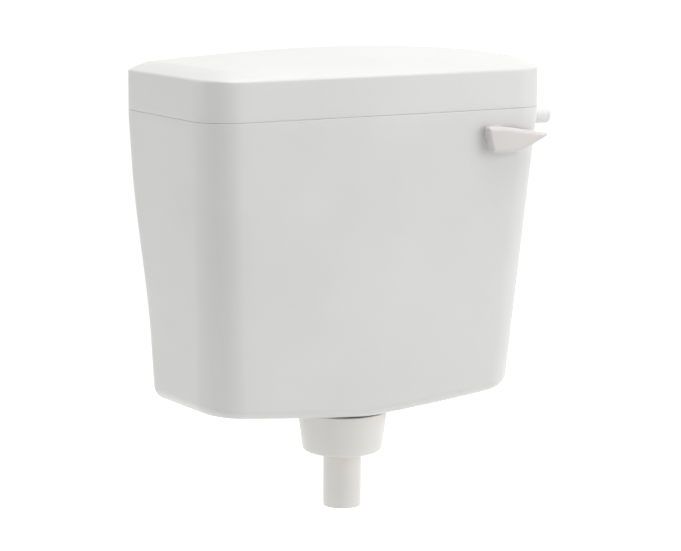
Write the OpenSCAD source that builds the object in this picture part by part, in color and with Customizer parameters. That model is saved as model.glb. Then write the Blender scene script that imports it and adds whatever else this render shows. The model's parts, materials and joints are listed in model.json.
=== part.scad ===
// Wall-hung toilet cistern: tapered tank with a crowned lid, front flush lever,
// siphon flush and side-entry float valve, with the head of the flush pipe below.
// Frame: +X to the right seen from the front, +Y towards the wall, +Z up.
// The origin lies on the wall plane, midway between the two wall fixing holes.

/* [Tank] */
// Width across the back at the rim
back_w = 410; // [395:1:440]
// Width across the front at the rim
front_w = 390; // [375:1:405]
// Depth from the wall to the front corners at the rim
rim_depth = 185; // [180:1:200]
// Forward bow of the front at the rim
rim_bow = 1; // [0:0.5:8]
// Width across the back at the base
base_back_w = 375; // [365:1:390]
// Width across the front at the base
base_front_w = 356; // [345:1:370]
// Depth from the wall to the front corners at the base
base_depth = 158.5; // [152:0.5:175]
// Forward bow of the front at the base
base_bow = 6.5; // [0:0.5:14]
// How far the lower back stands off the wall
back_step = 17.5; // [0:0.5:22]
// Height from the lowest point of the base to the rim
body_h = 312; // [300:1:360]
// Upright band between the rim and the start of the taper
rim_band = 8.5; // [6:0.5:20]
// Rise of the base from its middle to its sides
base_rise = 15; // [0:1:20]
// Radius of the upright front corners
front_r = 38; // [26:1:42]
// Radius of the upright back corners
back_r = 22; // [16:1:26]
// Radius of the edge round the base
base_r = 13; // [10:1:16]
// Wall thickness of the tank
wall = 4; // [3:0.5:5]
// Height of the rim above the wall fixing holes
fixing_drop = 35; // [25:1:45]

/* [Lid] */
// Height of the lid from the rim to its top edge
lid_h = 40; // [38:0.5:60]
// Radius of the top edge of the lid
lid_edge_r = 3; // [1.5:0.5:5]
// Width of the sloping shoulder round the lid top
shoulder_w = 22; // [14:1:24]
// Rise of the shoulder
shoulder_h = 7; // [4:0.5:10]
// Rise of the lid crown from its edges to its middle
crown_h = 12.5; // [6:0.5:14]
// Wall thickness of the lid
lid_wall = 3.5; // [3:0.5:5]
// Height of the rim tongue inside the lid
tongue_h = 6; // [4:1:10]

/* [Wall fixing] */
// Distance between the two wall fixing holes
fixing_span = 280; // [240:5:310]
// Radius of a wall fixing hole
fixing_hole_r = 4.5; // [3:0.5:6]
// Radius of the pad round a wall fixing hole
fixing_pad_r = 12; // [9:0.5:15]

/* [Lever] */
// Distance of the lever axis from the right end of the rim
lever_inset = 75; // [65:1:80]
// Depth of the lever axis below the rim
lever_drop = 29; // [27:1:36]
// Swing of the lever from rest to a full flush, in degrees
lever_swing = 18; // [12:1:19]
// Radius of the spindle
spindle_r = 5; // [4:0.5:6]
// Length of the handle from its short end to its tip
handle_len = 79; // [70:1:95]
// Length of handle on the short side of the axis
handle_tail = 15.5; // [14:0.5:18]
// Height of the handle at its tallest
handle_h = 28.5; // [27:0.5:32]
// Depth of the handle from its back edge to its face
handle_depth = 8.5; // [8:0.5:12]
// Wall thickness of the handle
handle_wall = 2.5; // [2:0.1:3]
// Fall of the handle top from its short end to its tip
handle_fall = 11; // [8:0.5:14]
// Height of the lift arm bar
arm_h = 8; // [6:0.5:12]
// Thickness of the lift arm bar
arm_t = 4; // [3:0.5:6]
// Radius of the cross pin at the end of the lift arm
cross_pin_r = 3; // [2:0.5:4]

/* [Siphon] */
// Distance of the outlet axis from the wall
outlet_gap = 99; // [94:1:104]
// Distance from the outlet axis to the chamber axis
chamber_gap = 70; // [69:1:80]
// Outer radius of the plunger chamber
chamber_r = 42; // [36:1:44]
// Outer radius of the up leg
up_leg_r = 24; // [20:1:25]
// Outer radius of the down leg
down_leg_r = 23; // [20:0.5:24]
// Wall thickness of the siphon mouldings
siphon_wall = 3; // [2:0.5:4]
// Depth of the siphon weir below the rim
weir_drop = 66; // [64:1:80]
// Height of the siphon cover
cover_h = 19; // [15:1:20]
// Height of the chamber mouth above the tank floor
mouth_gap = 27; // [18:1:40]
// Outer radius of the siphon tail through the floor
tail_r = 25; // [24:0.5:28]
// Length of the tail below the floor
tail_len = 25; // [24:1:28]
// Radius of the plunger rod
rod_r = 2.5; // [2:0.5:4]

/* [Outlet] */
// Outer radius of the flush pipe
pipe_r = 20; // [19:0.5:20.5]
// Wall thickness of the flush pipe
pipe_wall = 2.4; // [1.5:0.1:3]
// Length of flush pipe below the shroud
pipe_show = 59; // [30:1:300]
// Radius of the shroud at its top
shroud_top_r = 47; // [46:0.5:52]
// Radius of the shroud at its foot
shroud_foot_r = 41.5; // [40:0.5:44]
// Height of the shroud
shroud_h = 43; // [43:1:60]
// Radius of the foot edge of the shroud
shroud_edge_r = 5.5; // [3:0.5:8]

/* [Inlet valve] */
// Distance of the inlet axis from the wall
inlet_gap = 104; // [100:1:110]
// Depth of the inlet axis below the rim
inlet_drop = 16.5; // [14:0.5:18]
// Thread radius of the inlet tail
inlet_r = 10.48; // [8.3:0.01:10.48]
// Length of the inlet tail outside the wall
inlet_len = 44; // [30:1:65]
// Radius of the waterway in the inlet tail
waterway_r = 6; // [4:0.5:7]
// Outer radius of the valve body
valve_r = 11; // [10.5:0.5:12]
// Radius of the valve piston
piston_r = 7; // [6:0.5:7.5]
// Distance from the float hinge to the middle of the ball
float_reach = 92; // [80:1:95]
// Radius of the float ball
ball_r = 36; // [28:1:37]
// Angle of the float arm below level with the tank empty, in degrees
float_low = 60; // [50:1:65]
// Angle of the float arm below level with the tank full, in degrees
float_high = 25; // [22:1:40]

/* [Fits] */
// Clearance of a turning or sliding shaft in its bore
running_gap = 0.05; // [0.02:0.01:0.1]
// Clearance between parts that pass each other
free_gap = 0.4; // [0.3:0.05:0.6]
// Clearance of a hole over the shank it lets through
hole_gap = 0.5; // [0.3:0.1:1]
// Seat gap between parts that bear on each other
seat_gap = 0.02; // [0.01:0.01:0.05]

/* [Hidden] */
$fn = 96;
edge_steps = 12;
side_steps = 3;
corner_steps = 7;
round_steps = 6;
level_steps = 14;
step_start = 0.18;
rise_power = 1.19;
shoulder_power = 1.25;
crown_power = 3.6;
pad_proud = 2;
pad_clear = 0.6;
cut = 1;

// Heights of the tank
rim_z = fixing_drop;
low_z = rim_z - body_h;
flange_lip = 11;
flange_r = tail_r + flange_lip;
outlet_pad_r = flange_r + 3;
floor_top = low_z + wall + max(pad_proud, base_lift(outlet_pad_r) + free_gap);
floor_under = low_z - pad_proud;
tongue_in = wall / 2;
lid_lip = tongue_in - free_gap;
lid_seat = 0.1;

// Shares of the height at which the wall has a ring: the rim, the foot of its band, then even steps
wall_levels = [
    0,
    for (i = [0 : level_steps]) mix(rim_band / body_h, 1, i / level_steps)
];

// Outlet, siphon and shroud
outlet_y = -outlet_gap;
chamber_x = -chamber_gap;
seal_t = 3;
flange_t = 5;
flange_under = floor_top + seal_t;
flange_top = flange_under + flange_t;
tail_end = floor_under - tail_len;
socket_depth = 15;
tail_bore_r = down_leg_r - siphon_wall;
spigot_step = 0.3;
spigot_r = pipe_r - spigot_step;
socket_r = spigot_r + free_gap;
back_nut_r = flange_r;
back_nut_h = 11;
pipe_nut_r = tail_r + 6;
pipe_nut_overlap = 11;
pipe_seal_t = 8;
pipe_nut_lip = 4;
pipe_nut_top = tail_end + pipe_nut_overlap;
pipe_nut_end = tail_end - pipe_seal_t - pipe_nut_lip;
pipe_top = tail_end + socket_depth;
shroud_gap = 1.5;
shroud_top = floor_under - shroud_gap;
shroud_end = shroud_top - shroud_h;
shroud_wall = 2.5;
pipe_end = shroud_end - pipe_show;
weir_z = rim_z - weir_drop;
mouth_z = floor_top + mouth_gap;
cover_r = max(up_leg_r, down_leg_r) + 3;
cover_wall = 3.5;
cover_top = weir_z + cover_h;
deck_t = 4;
leg_socket_h = 18;
web_gap = 20;

// Plunger and lift arm
lever_x = back_w / 2 - lever_inset;
lever_z = rim_z - lever_drop;
arm_len = 2 * (lever_x + chamber_gap) / (1 + cos(lever_swing));
stroke = arm_len * sin(lever_swing);
pin_shift = arm_len * (1 - cos(lever_swing)) / 2;
cross_pin_x = lever_x - arm_len;
plate_t = 4;
plate_r = chamber_r - siphon_wall - free_gap;
plate_z = mouth_z + 1;
diaphragm_t = 0.8;
diaphragm_z = plate_z + plate_t + seat_gap;
cap_washer_r = 16;
cap_washer_t = 2;
cap_washer_z = diaphragm_z + diaphragm_t + seat_gap;
rod_nut_h = 4;
rod_low_z = plate_z - rod_nut_h - 3;
chamber_h = plate_t + diaphragm_t + cap_washer_t + stroke + 4;
chamber_top = mouth_z + chamber_h;
cone_h = 30;
cone_top = chamber_top + cone_h;
guide_flange_t = 2.5;
guide_r = 5;
guide_top = cover_top + guide_flange_t;
link_t = 5;
link_rim = 4;
link_in_w = pin_shift + cross_pin_r + 1.5;
link_play = 0.6;

// Lever in the front wall
bush_r = spindle_r + 3;
bush_flange_r = bush_r + 4;
bush_flange_t = 1.5;
lever_pad_r = bush_flange_r + 1;
lever_pad_out = front_at(lever_x - lever_pad_r, lever_z + lever_pad_r) - pad_clear;
lever_pad_in = front_at(lever_x + lever_pad_r, lever_z - lever_pad_r) + wall + pad_clear;
bush_washer_t = 2;
bush_nut_t = 7;
bush_end = lever_pad_in + bush_washer_t + bush_nut_t + 2;
bush_face = lever_pad_out - bush_flange_t;
clip_t = 1.5;
hub_w = 10;
hub_r = spindle_r + 4;
hub_start = bush_end + free_gap + clip_t + free_gap;
arm_y = hub_start + hub_w / 2;
spindle_end = hub_start + hub_w + 2;
handle_back = bush_face - free_gap;
handle_front = handle_back - handle_depth;
handle_top = 0.45 * handle_h;
handle_edge_r = 4.2;
tip_set_back = 3;
spindle_front = handle_front + handle_wall;
screw_y = (spindle_front + handle_back) / 2;
grub_r = 1.5;

// Inlet valve, measured from the right wall
inlet_y = -inlet_gap;
inlet_z = rim_z - inlet_drop;
shank_step = 0.3;
inlet_shank_r = inlet_r + shank_step;
pad_margin = 2.1;
inlet_pad_r = inlet_shank_r + pad_margin;
inlet_pad_out = side_at(inlet_y + inlet_pad_r, inlet_z + inlet_pad_r) + pad_clear;
inlet_pad_in = side_at(inlet_y - inlet_pad_r, inlet_z - inlet_pad_r) - wall - pad_clear;
inlet_end = inlet_pad_out + inlet_len;
outer_washer_t = 2;
inlet_nut_across = 2 * inlet_pad_r;
inlet_nut_t = 9;
inlet_step = inlet_pad_out + outer_washer_t + inlet_nut_t + 1;
inner_washer_t = 2.5;
inner_flange_t = 3.5;
inner_flange_r = valve_r + 2.5;
valve_root = inlet_pad_in - inner_washer_t - inner_flange_t;
valve_len = 56;
valve_left = valve_root - valve_len;
bore_r = piston_r + running_gap;
nozzle_t = 8;
nozzle_face = valve_root - nozzle_t - 6;
hinge_drop = 14.5;
hinge_z = inlet_z - hinge_drop;
float_swing = float_low - float_high;
heel_len = hinge_drop - 1;
piston_travel = 2 * heel_len * sin(float_swing / 2);
piston_washer_t = 3;
piston_front = nozzle_face - 0.3 - piston_washer_t - piston_travel;
piston_len = 26;
piston_left = piston_front - piston_len;
heel_w = 4;
hinge_x = piston_left + 9 + piston_travel / 2;
slot_w = heel_w + 2 * heel_len * sin(float_swing / 2) * 0.6;
slot_x = hinge_x - piston_travel / 2;
pin_r = 1.6;
ear_gap = 4.6;
ear_t = 3;
port_x = (piston_front + piston_washer_t + nozzle_face) / 2;
port_r = 3.5;
silencer_wall = 1.5;
silencer_len = 165;
spout_len = 8;
arm_rod_r = 3;
float_nut_h = 5;
cap_t = 6;

// Shape functions

function mix(a, b, t) = a + (b - a) * t;

function clamp01(t) = max(0, min(1, t));

function unit(v) = v / norm(v);

// Share of the taper reached at a share of the height below the rim
function taper(level) = max(0, (level * body_h - rim_band) / (body_h - rim_band));

// Smooth step of the lower back away from the wall
function step_share(t) =
    let (s = clamp01((t - step_start) / (1 - 2 * step_start)))
    s * s * (3 - 2 * s);

function back_half(level) = mix(back_w, base_back_w, taper(level)) / 2;

function front_half(level) = mix(front_w, base_front_w, taper(level)) / 2;

function front_y(level) = -mix(rim_depth, base_depth, taper(level));

function back_y(level) = -back_step * step_share(taper(level));

function bow(level) = mix(rim_bow, base_bow, taper(level));

// Rise of the base over its lowest line, by distance from the middle
function base_lift(x) = base_rise * pow(abs(x) / (base_back_w / 2), rise_power);

// Front wall at a point of its face, and right wall at a point of its side
function front_at(x, z) =
    let (level = (rim_z - z) / body_h)
    front_y(level) - bow(level) * (1 - pow(x / front_half(level), 2));

function side_at(y, z) =
    let (level = (rim_z - z) / body_h)
    mix(back_half(level), front_half(level), y / front_y(level));

// Points of the arc that rounds one corner of an outline
function corner(before, tip, after, r, steps) =
    let (
        a = unit(before - tip),
        b = unit(after - tip),
        half = acos(a * b) / 2,
        middle = tip + unit(a + b) * r / sin(half),
        start = tip + a * r / tan(half) - middle,
        turn = 180 - 2 * half,
        angle = atan2(start.y, start.x),
        way = cross(a, b) < 0 ? 1 : -1
    )
    [for (i = [0 : steps])
        let (a = angle + way * turn * i / steps)
        middle + r * [cos(a), sin(a)]];

// Points between two ends of a straight run
function between(p, q, steps) = [for (i = [1 : steps - 1]) mix(p, q, i / steps)];

// Plan outline of the tank at a share of its height, set in by a distance
function outline(level, inset) =
    let (
        back = back_half(level) - inset,
        front = front_half(level) - inset,
        y_back = back_y(level) - inset,
        y_front = front_y(level) + inset,
        r_back = max(1, back_r - inset),
        r_front = max(1, front_r - inset),
        tips = [[-back, y_back], [-front, y_front], [front, y_front], [back, y_back]],
        back_left = corner(tips[3], tips[0], tips[1], r_back, corner_steps),
        front_left = corner(tips[0], tips[1], tips[2], r_front, corner_steps),
        front_right = corner(tips[1], tips[2], tips[3], r_front, corner_steps),
        back_right = corner(tips[2], tips[3], tips[0], r_back, corner_steps),
        loop = concat(
            back_left,
            between(back_left[corner_steps], front_left[0], side_steps),
            front_left,
            between(front_left[corner_steps], front_right[0], edge_steps),
            front_right,
            between(front_right[corner_steps], back_right[0], side_steps),
            back_right,
            between(back_right[corner_steps], back_left[0], edge_steps)
        )
    )
    [for (p = loop)
        let (
            forward = clamp01((y_back - p.y) / (y_back - y_front)),
            spread = max(0, 1 - pow(p.x / front, 2))
        )
        [p.x, p.y - bow(level) * forward * spread]];

// Ring of the side wall between the rim and the top of the base edge
function wall_ring(level, inset, under) =
    [for (p = outline(level, inset))
        [p.x, p.y, mix(rim_z, low_z + under + base_lift(p.x), level)]];

// Ring of the rounded edge of the base
function edge_ring(angle, inset, r, under) =
    [for (p = outline(1, inset + r * (1 - cos(angle))))
        [p.x, p.y, low_z + under + base_lift(p.x) + r * (1 - sin(angle))]];

// Ring of the base itself, drawn in towards the middle
function base_ring(share, inset, under) =
    let (mid_y = (back_y(1) + front_y(1)) / 2)
    [for (p = outline(1, inset))
        let (x = p.x * share)
        [x, mix(mid_y, p.y, share), low_z + under + base_lift(x)]];

// Level ring at a height
function flat_ring(inset, z) = [for (p = outline(0, inset)) [p.x, p.y, z]];

// Rise of the lid shoulder at a distance in from the side
function shoulder(inset) = shoulder_h * (1 - pow(1 - inset / shoulder_w, shoulder_power));

// Rise of the lid crown over a point of the plan
function crown(p) =
    crown_h
        * max(0, 1 - pow(2 * p.x / back_w, 2))
        * max(0, 1 - pow(abs(2 * p.y / rim_depth + 1), crown_power));

// Ring of the lid top set in from the side, drawn in towards the middle and lifted by the crown
function lid_ring(inset, z, draw) =
    [for (q = outline(0, inset))
        let (p = mix([0, -rim_depth / 2], q, draw))
        [p.x, p.y, z + crown(p)]];

// Closed skin over a row of rings, from a first pole to a last pole
module skin(rings, first_pole, last_pole) {
    n = len(rings[0]);
    rows = len(rings);
    points = concat([first_pole], [for (ring = rings) each ring], [last_pole]);
    last = len(points) - 1;
    sides = [
        for (j = [0 : rows - 2])
            for (i = [0 : n - 1])
                let (
                    a = 1 + j * n + i,
                    b = 1 + j * n + (i + 1) % n
                )
                each [[a, a + n, b + n], [a, b + n, b]]
    ];
    first_fan = [for (i = [0 : n - 1]) [0, 1 + i, 1 + (i + 1) % n]];
    last_fan = [
        for (i = [0 : n - 1])
            [last, 1 + (rows - 1) * n + (i + 1) % n, 1 + (rows - 1) * n + i]
    ];
    polyhedron(points = points, faces = concat(first_fan, sides, last_fan), convexity = 8);
}

// Placing helpers: a round bar along X or Y, and a ring along Z

module bar_x(x1, x2, y, z, r) {
    translate([x1, y, z])
        rotate([0, 90, 0])
            cylinder(r = r, h = x2 - x1);
}

module bar_y(y1, y2, x, z, r) {
    translate([x, y1, z])
        rotate([-90, 0, 0])
            cylinder(r = r, h = y2 - y1);
}

module bar_z(z1, z2, x, y, r) {
    translate([x, y, z1])
        cylinder(r = r, h = z2 - z1);
}

module ring_z(z1, z2, x, y, r_out, r_in) {
    difference() {
        bar_z(z1, z2, x, y, r_out);
        bar_z(z1 - cut, z2 + cut, x, y, r_in);
    }
}

// Tank and lid

module tank_shell() {
    inner_r = base_r - wall;
    angles = [for (i = [1 : round_steps - 1]) 90 * i / round_steps];
    mid_y = (back_y(1) + front_y(1)) / 2;
    rings = concat(
        [for (s = [0.25, 0.5, 0.75, 1]) base_ring(s, base_r, 0)],
        [for (i = [1 : round_steps - 1]) edge_ring(90 * (1 - i / round_steps), 0, base_r, 0)],
        [for (i = [level_steps + 1 : -1 : 0]) wall_ring(wall_levels[i], 0, base_r)],
        [flat_ring(tongue_in, rim_z), flat_ring(tongue_in, rim_z + tongue_h)],
        [flat_ring(wall, rim_z + tongue_h)],
        [for (level = wall_levels) wall_ring(level, wall, base_r)],
        [for (a = angles) edge_ring(a, wall, inner_r, wall)],
        [for (s = [1, 0.75, 0.5, 0.25]) base_ring(s, base_r, wall)]
    );
    skin(rings, [0, mid_y, low_z], [0, mid_y, low_z + wall]);
}

module tank() {
    color("White")
    difference() {
        union() {
            tank_shell();
            bar_z(floor_under, floor_top, 0, outlet_y, outlet_pad_r);
            bar_x(inlet_pad_in, inlet_pad_out, inlet_y, inlet_z, inlet_pad_r);
            bar_y(lever_pad_out, lever_pad_in, lever_x, lever_z, lever_pad_r);
            for (side = [-1, 1])
                bar_y(-wall - pad_proud, -wall / 2, side * fixing_span / 2, 0, fixing_pad_r);
        }
        bar_z(floor_under - cut, floor_top + cut, 0, outlet_y, tail_r + hole_gap);
        bar_x(inlet_pad_in - cut, inlet_pad_out + cut, inlet_y, inlet_z, inlet_shank_r + hole_gap);
        bar_y(lever_pad_out - cut, lever_pad_in + cut, lever_x, lever_z, bush_r + hole_gap);
        for (side = [-1, 1])
            bar_y(-wall - pad_proud - cut, cut, side * fixing_span / 2, 0, fixing_hole_r);
    }
}

module lid() {
    top = rim_z + lid_h;
    seat = rim_z + lid_seat;
    lap_top = rim_z + tongue_h + free_gap;
    mid_y = -rim_depth / 2;
    cap_z = top + shoulder_h;
    lean = atan(shoulder_h * shoulder_power / shoulder_w);
    edge_z = top - lid_edge_r * (1 - sin(lean)) / cos(lean);
    edge_end = lid_edge_r * (1 - sin(lean));
    angles = [for (i = [0 : round_steps]) (90 - lean) * i / round_steps];
    insets = [for (i = [1 : round_steps]) mix(edge_end, shoulder_w, i / round_steps)];
    under_insets = [for (i = [round_steps : -1 : 0]) mix(lid_wall, shoulder_w, i / round_steps)];
    draws = [0.8, 0.6, 0.4, 0.2];
    rings = concat(
        [for (i = [3 : -1 : 0]) lid_ring(shoulder_w, cap_z - lid_wall, draws[i])],
        [for (d = under_insets) lid_ring(d, top + shoulder(d) - lid_wall, 1)],
        [flat_ring(lid_wall, lap_top), flat_ring(lid_lip, lap_top)],
        [flat_ring(lid_lip, seat), flat_ring(0, seat)],
        [for (a = angles)
            lid_ring(lid_edge_r * (1 - cos(a)), edge_z + lid_edge_r * sin(a), 1)],
        [for (d = insets) lid_ring(d, top + shoulder(d), 1)],
        [for (draw = draws) lid_ring(shoulder_w, cap_z, draw)]
    );
    color("White")
    skin(rings, [0, mid_y, cap_z - lid_wall + crown_h], [0, mid_y, cap_z + crown_h]);
}

// Lever group

// Corners of the handle seen from the front, about the lever axis, with the radius of each
handle_tips = [
    [-handle_tail, handle_top],
    [0.32 * handle_len - handle_tail, handle_top - 0.14 * handle_fall],
    [handle_len - handle_tail, handle_top - handle_fall],
    [0.51 * handle_len - handle_tail, handle_top - handle_h],
    [0.08 * handle_len - handle_tail, handle_top - 0.95 * handle_h],
    [0.013 * handle_len - handle_tail, handle_top - 0.41 * handle_h]
];
handle_radii = [3, 150, 1.8, 38, 4, 38];

// A corner of the handle moved in from both of its edges
function moved_in(k, inset) =
    let (
        tip = handle_tips[k],
        a = unit(handle_tips[(k + 5) % 6] - tip),
        b = unit(handle_tips[(k + 1) % 6] - tip)
    )
    tip + unit(a + b) * inset / sin(acos(a * b) / 2);

// Outline of the handle, set in by a distance
function handle_outline(inset) =
    let (tips = [for (k = [0 : 5]) moved_in(k, inset)])
    [for (k = [0 : 5])
        each corner(tips[(k + 5) % 6], tips[k], tips[(k + 1) % 6], max(0.4, handle_radii[k] - inset), 5)];

// Face of the handle, which draws back towards the tip
function handle_face(x) = handle_front + tip_set_back * pow(clamp01(x / (handle_len - handle_tail)), 2);

// Ring of the handle at a depth behind its face, and one at a set place
function handle_ring(inset, depth) =
    [for (p = handle_outline(inset)) [lever_x + p.x, handle_face(p.x) + depth, lever_z + p.y]];

function handle_back_ring(inset, y) = [for (p = handle_outline(inset)) [lever_x + p.x, y, lever_z + p.y]];

module lever_handle() {
    r = handle_edge_r;
    half_face = [for (p = handle_outline(r)) [lever_x + p.x / 2, handle_face(p.x / 2), lever_z + p.y / 2]];
    rings = concat(
        [half_face],
        [for (i = [0 : 4]) handle_ring(r * (1 - sin(22.5 * i)), r * (1 - cos(22.5 * i)))],
        [handle_back_ring(0, handle_back - 0.5), handle_back_ring(0.5, handle_back)],
        [handle_back_ring(handle_wall, handle_back)],
        [handle_ring(handle_wall, handle_wall + 1), handle_ring(handle_wall + 1, handle_wall)]
    );
    color("WhiteSmoke")
    difference() {
        union() {
            skin(rings, [lever_x, handle_front, lever_z], [lever_x, handle_front + handle_wall, lever_z]);
            bar_y(handle_front + handle_wall / 2, handle_back, lever_x, lever_z, hub_r);
        }
        bar_y(spindle_front, bush_face, lever_x, lever_z, spindle_r + seat_gap);
        bar_z(lever_z - handle_h, lever_z, lever_x, screw_y, grub_r + seat_gap);
    }
}

module lever_spindle() {
    color("Gainsboro")
    difference() {
        bar_y(spindle_front + seat_gap, spindle_end, lever_x, lever_z, spindle_r);
        translate([0, bush_end + free_gap - seat_gap, 0])
            spindle_groove();
        bar_z(lever_z - spindle_r - cut, lever_z - spindle_r + 1.5, lever_x, screw_y, grub_r + seat_gap);
        bar_z(lever_z + spindle_r - 1.5, lever_z + spindle_r + cut, lever_x, arm_y, grub_r + seat_gap);
    }
}

// Groove that holds the spindle clip
module spindle_groove() {
    difference() {
        bar_y(0, clip_t + 2 * seat_gap, lever_x, lever_z, spindle_r + cut);
        bar_y(-cut, clip_t + cut, lever_x, lever_z, spindle_r - 1);
    }
}

module handle_screw() {
    color("Silver")
    bar_z(lever_z - hub_r + 0.5, lever_z - spindle_r + 1.5 - seat_gap, lever_x, screw_y, grub_r);
}

module lever_bush() {
    color("WhiteSmoke")
    difference() {
        union() {
            bar_y(bush_face, lever_pad_out - seat_gap, lever_x, lever_z, bush_flange_r);
            bar_y(bush_face, bush_end, lever_x, lever_z, bush_r);
        }
        bar_y(bush_face - cut, bush_end + cut, lever_x, lever_z, spindle_r + running_gap);
    }
}

module bush_washer() {
    color("DimGray")
    difference() {
        bar_y(
            lever_pad_in + seat_gap, lever_pad_in + bush_washer_t - seat_gap,
            lever_x, lever_z, bush_flange_r);
        bar_y(lever_pad_in - cut, lever_pad_in + bush_washer_t + cut, lever_x, lever_z, bush_r + seat_gap);
    }
}

module bush_nut() {
    y1 = lever_pad_in + bush_washer_t;
    color("Gainsboro")
    difference() {
        translate([lever_x, y1, lever_z])
            rotate([-90, 0, 0])
                cylinder(r = bush_flange_r + 1, h = bush_nut_t, $fn = 6);
        bar_y(y1 - cut, y1 + bush_nut_t + cut, lever_x, lever_z, bush_r + seat_gap);
    }
}

module spindle_clip() {
    y1 = bush_end + free_gap;
    color("Silver")
    difference() {
        bar_y(y1, y1 + clip_t, lever_x, lever_z, spindle_r + 2.5);
        bar_y(y1 - cut, y1 + clip_t + cut, lever_x, lever_z, spindle_r - 1 + seat_gap);
        translate([lever_x - spindle_r + 2, y1 - cut, lever_z - 2 * spindle_r])
            cube([2 * spindle_r - 4, clip_t + 2 * cut, 2 * spindle_r]);
    }
}

module lift_arm() {
    color("WhiteSmoke")
    difference() {
        union() {
            bar_y(hub_start, hub_start + hub_w, lever_x, lever_z, hub_r);
            translate([cross_pin_x, arm_y - arm_t / 2, lever_z - arm_h / 2])
                cube([arm_len, arm_t, arm_h]);
            bar_y(arm_y - arm_t / 2, arm_y + arm_t / 2, cross_pin_x, lever_z, arm_h / 2);
            bar_y(arm_y, outlet_y + link_t / 2 + 6, cross_pin_x, lever_z, cross_pin_r);
        }
        bar_y(hub_start - cut, hub_start + hub_w + cut, lever_x, lever_z, spindle_r + seat_gap);
        bar_z(lever_z, lever_z + hub_r + cut, lever_x, arm_y, grub_r + seat_gap);
    }
}

module arm_screw() {
    color("Silver")
    bar_z(lever_z + spindle_r - 1.5 + seat_gap, lever_z + hub_r - 0.5, lever_x, arm_y, grub_r);
}

// Plunger group

module lift_link() {
    slot_low = lever_z - cross_pin_r - link_play;
    slot_high = lever_z + cross_pin_r + link_play;
    foot = guide_top + free_gap;
    color("WhiteSmoke")
    difference() {
        union() {
            translate([chamber_x - link_in_w - link_rim, outlet_y - link_t / 2, slot_low - link_rim])
                cube([2 * (link_in_w + link_rim), link_t, slot_high - slot_low + 2 * link_rim]);
            bar_z(foot, slot_low - 1, chamber_x, outlet_y, rod_r + 2.5);
        }
        translate([chamber_x - link_in_w, outlet_y - link_t, slot_low])
            cube([2 * link_in_w, 2 * link_t, slot_high - slot_low]);
        bar_z(foot - cut, slot_low - 2, chamber_x, outlet_y, rod_r + seat_gap);
    }
}

module plunger_rod() {
    color("Silver")
    bar_z(rod_low_z, lever_z - cross_pin_r - link_play - 2 - seat_gap, chamber_x, outlet_y, rod_r);
}

module rod_guide() {
    color("WhiteSmoke")
    difference() {
        union() {
            bar_z(cover_top + seat_gap, guide_top, chamber_x, outlet_y, guide_r + 3);
            bar_z(cover_top - cover_wall - 3, guide_top, chamber_x, outlet_y, guide_r);
        }
        bar_z(cover_top - cover_wall - 4, guide_top + cut, chamber_x, outlet_y, rod_r + running_gap);
    }
}

module plunger_plate() {
    color("Gainsboro")
    difference() {
        bar_z(plate_z, plate_z + plate_t, chamber_x, outlet_y, plate_r);
        bar_z(plate_z - cut, plate_z + plate_t + cut, chamber_x, outlet_y, rod_r + seat_gap);
        for (i = [0 : 5])
            bar_z(plate_z - cut, plate_z + plate_t + cut,
                chamber_x + 0.6 * plate_r * cos(60 * i), outlet_y + 0.6 * plate_r * sin(60 * i),
                0.22 * plate_r);
    }
}

module diaphragm() {
    color("DimGray")
    ring_z(diaphragm_z, diaphragm_z + diaphragm_t, chamber_x, outlet_y, plate_r - 1, rod_r + seat_gap);
}

module diaphragm_washer() {
    color("Gainsboro")
    ring_z(cap_washer_z, cap_washer_z + cap_washer_t, chamber_x, outlet_y, cap_washer_r, rod_r + seat_gap);
}

// Nut on the plunger rod with its foot at a height
module rod_nut(z) {
    color("Silver")
    difference() {
        translate([chamber_x, outlet_y, z])
            cylinder(r = rod_r + 2.5, h = rod_nut_h, $fn = 6);
        bar_z(z - cut, z + rod_nut_h + cut, chamber_x, outlet_y, rod_r + seat_gap);
    }
}

module plunger_nut() {
    rod_nut(cap_washer_z + cap_washer_t + seat_gap);
}

module plate_nut() {
    rod_nut(plate_z - seat_gap - rod_nut_h);
}

// Siphon

// Plan of the siphon cover: two round ends joined by a straight run
module siphon_plan(r) {
    translate([chamber_x, outlet_y])
        circle(r = r);
    translate([0, outlet_y])
        circle(r = r);
    translate([chamber_x, outlet_y - r])
        square([chamber_gap, 2 * r]);
}

// Chamber, shoulder and up leg as one turned shape, set in by a wall and run past its ends
module chamber_leg(inset, past) {
    profile = [
        [0, mouth_z - past],
        [chamber_r - inset, mouth_z - past],
        [chamber_r - inset, chamber_top],
        [up_leg_r - inset, cone_top],
        [up_leg_r - inset, weir_z + past],
        [0, weir_z + past]
    ];
    translate([chamber_x, outlet_y, 0])
        rotate_extrude()
            polygon(profile);
}

module siphon_body() {
    color("Snow")
    difference() {
        union() {
            chamber_leg(0, 0);
            translate([chamber_x, outlet_y - siphon_wall / 2, chamber_top + web_gap])
                cube([chamber_gap, siphon_wall, weir_z - deck_t / 2 - chamber_top - web_gap]);
            translate([0, 0, weir_z - deck_t])
                linear_extrude(height = deck_t)
                    siphon_plan(cover_r);
            bar_z(weir_z - leg_socket_h, weir_z, 0, outlet_y, cover_r);
        }
        chamber_leg(siphon_wall, cut);
        bar_z(flange_under, weir_z + cut, 0, outlet_y, down_leg_r + seat_gap);
    }
}

module siphon_leg() {
    color("Snow")
    difference() {
        union() {
            bar_z(flange_under, weir_z, 0, outlet_y, down_leg_r);
            bar_z(flange_under, flange_top, 0, outlet_y, flange_r);
            bar_z(tail_end, flange_top, 0, outlet_y, tail_r);
        }
        bar_z(tail_end - cut, weir_z + cut, 0, outlet_y, tail_bore_r);
        bar_z(tail_end - cut, tail_end + socket_depth + seat_gap, 0, outlet_y, socket_r);
    }
}

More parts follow.
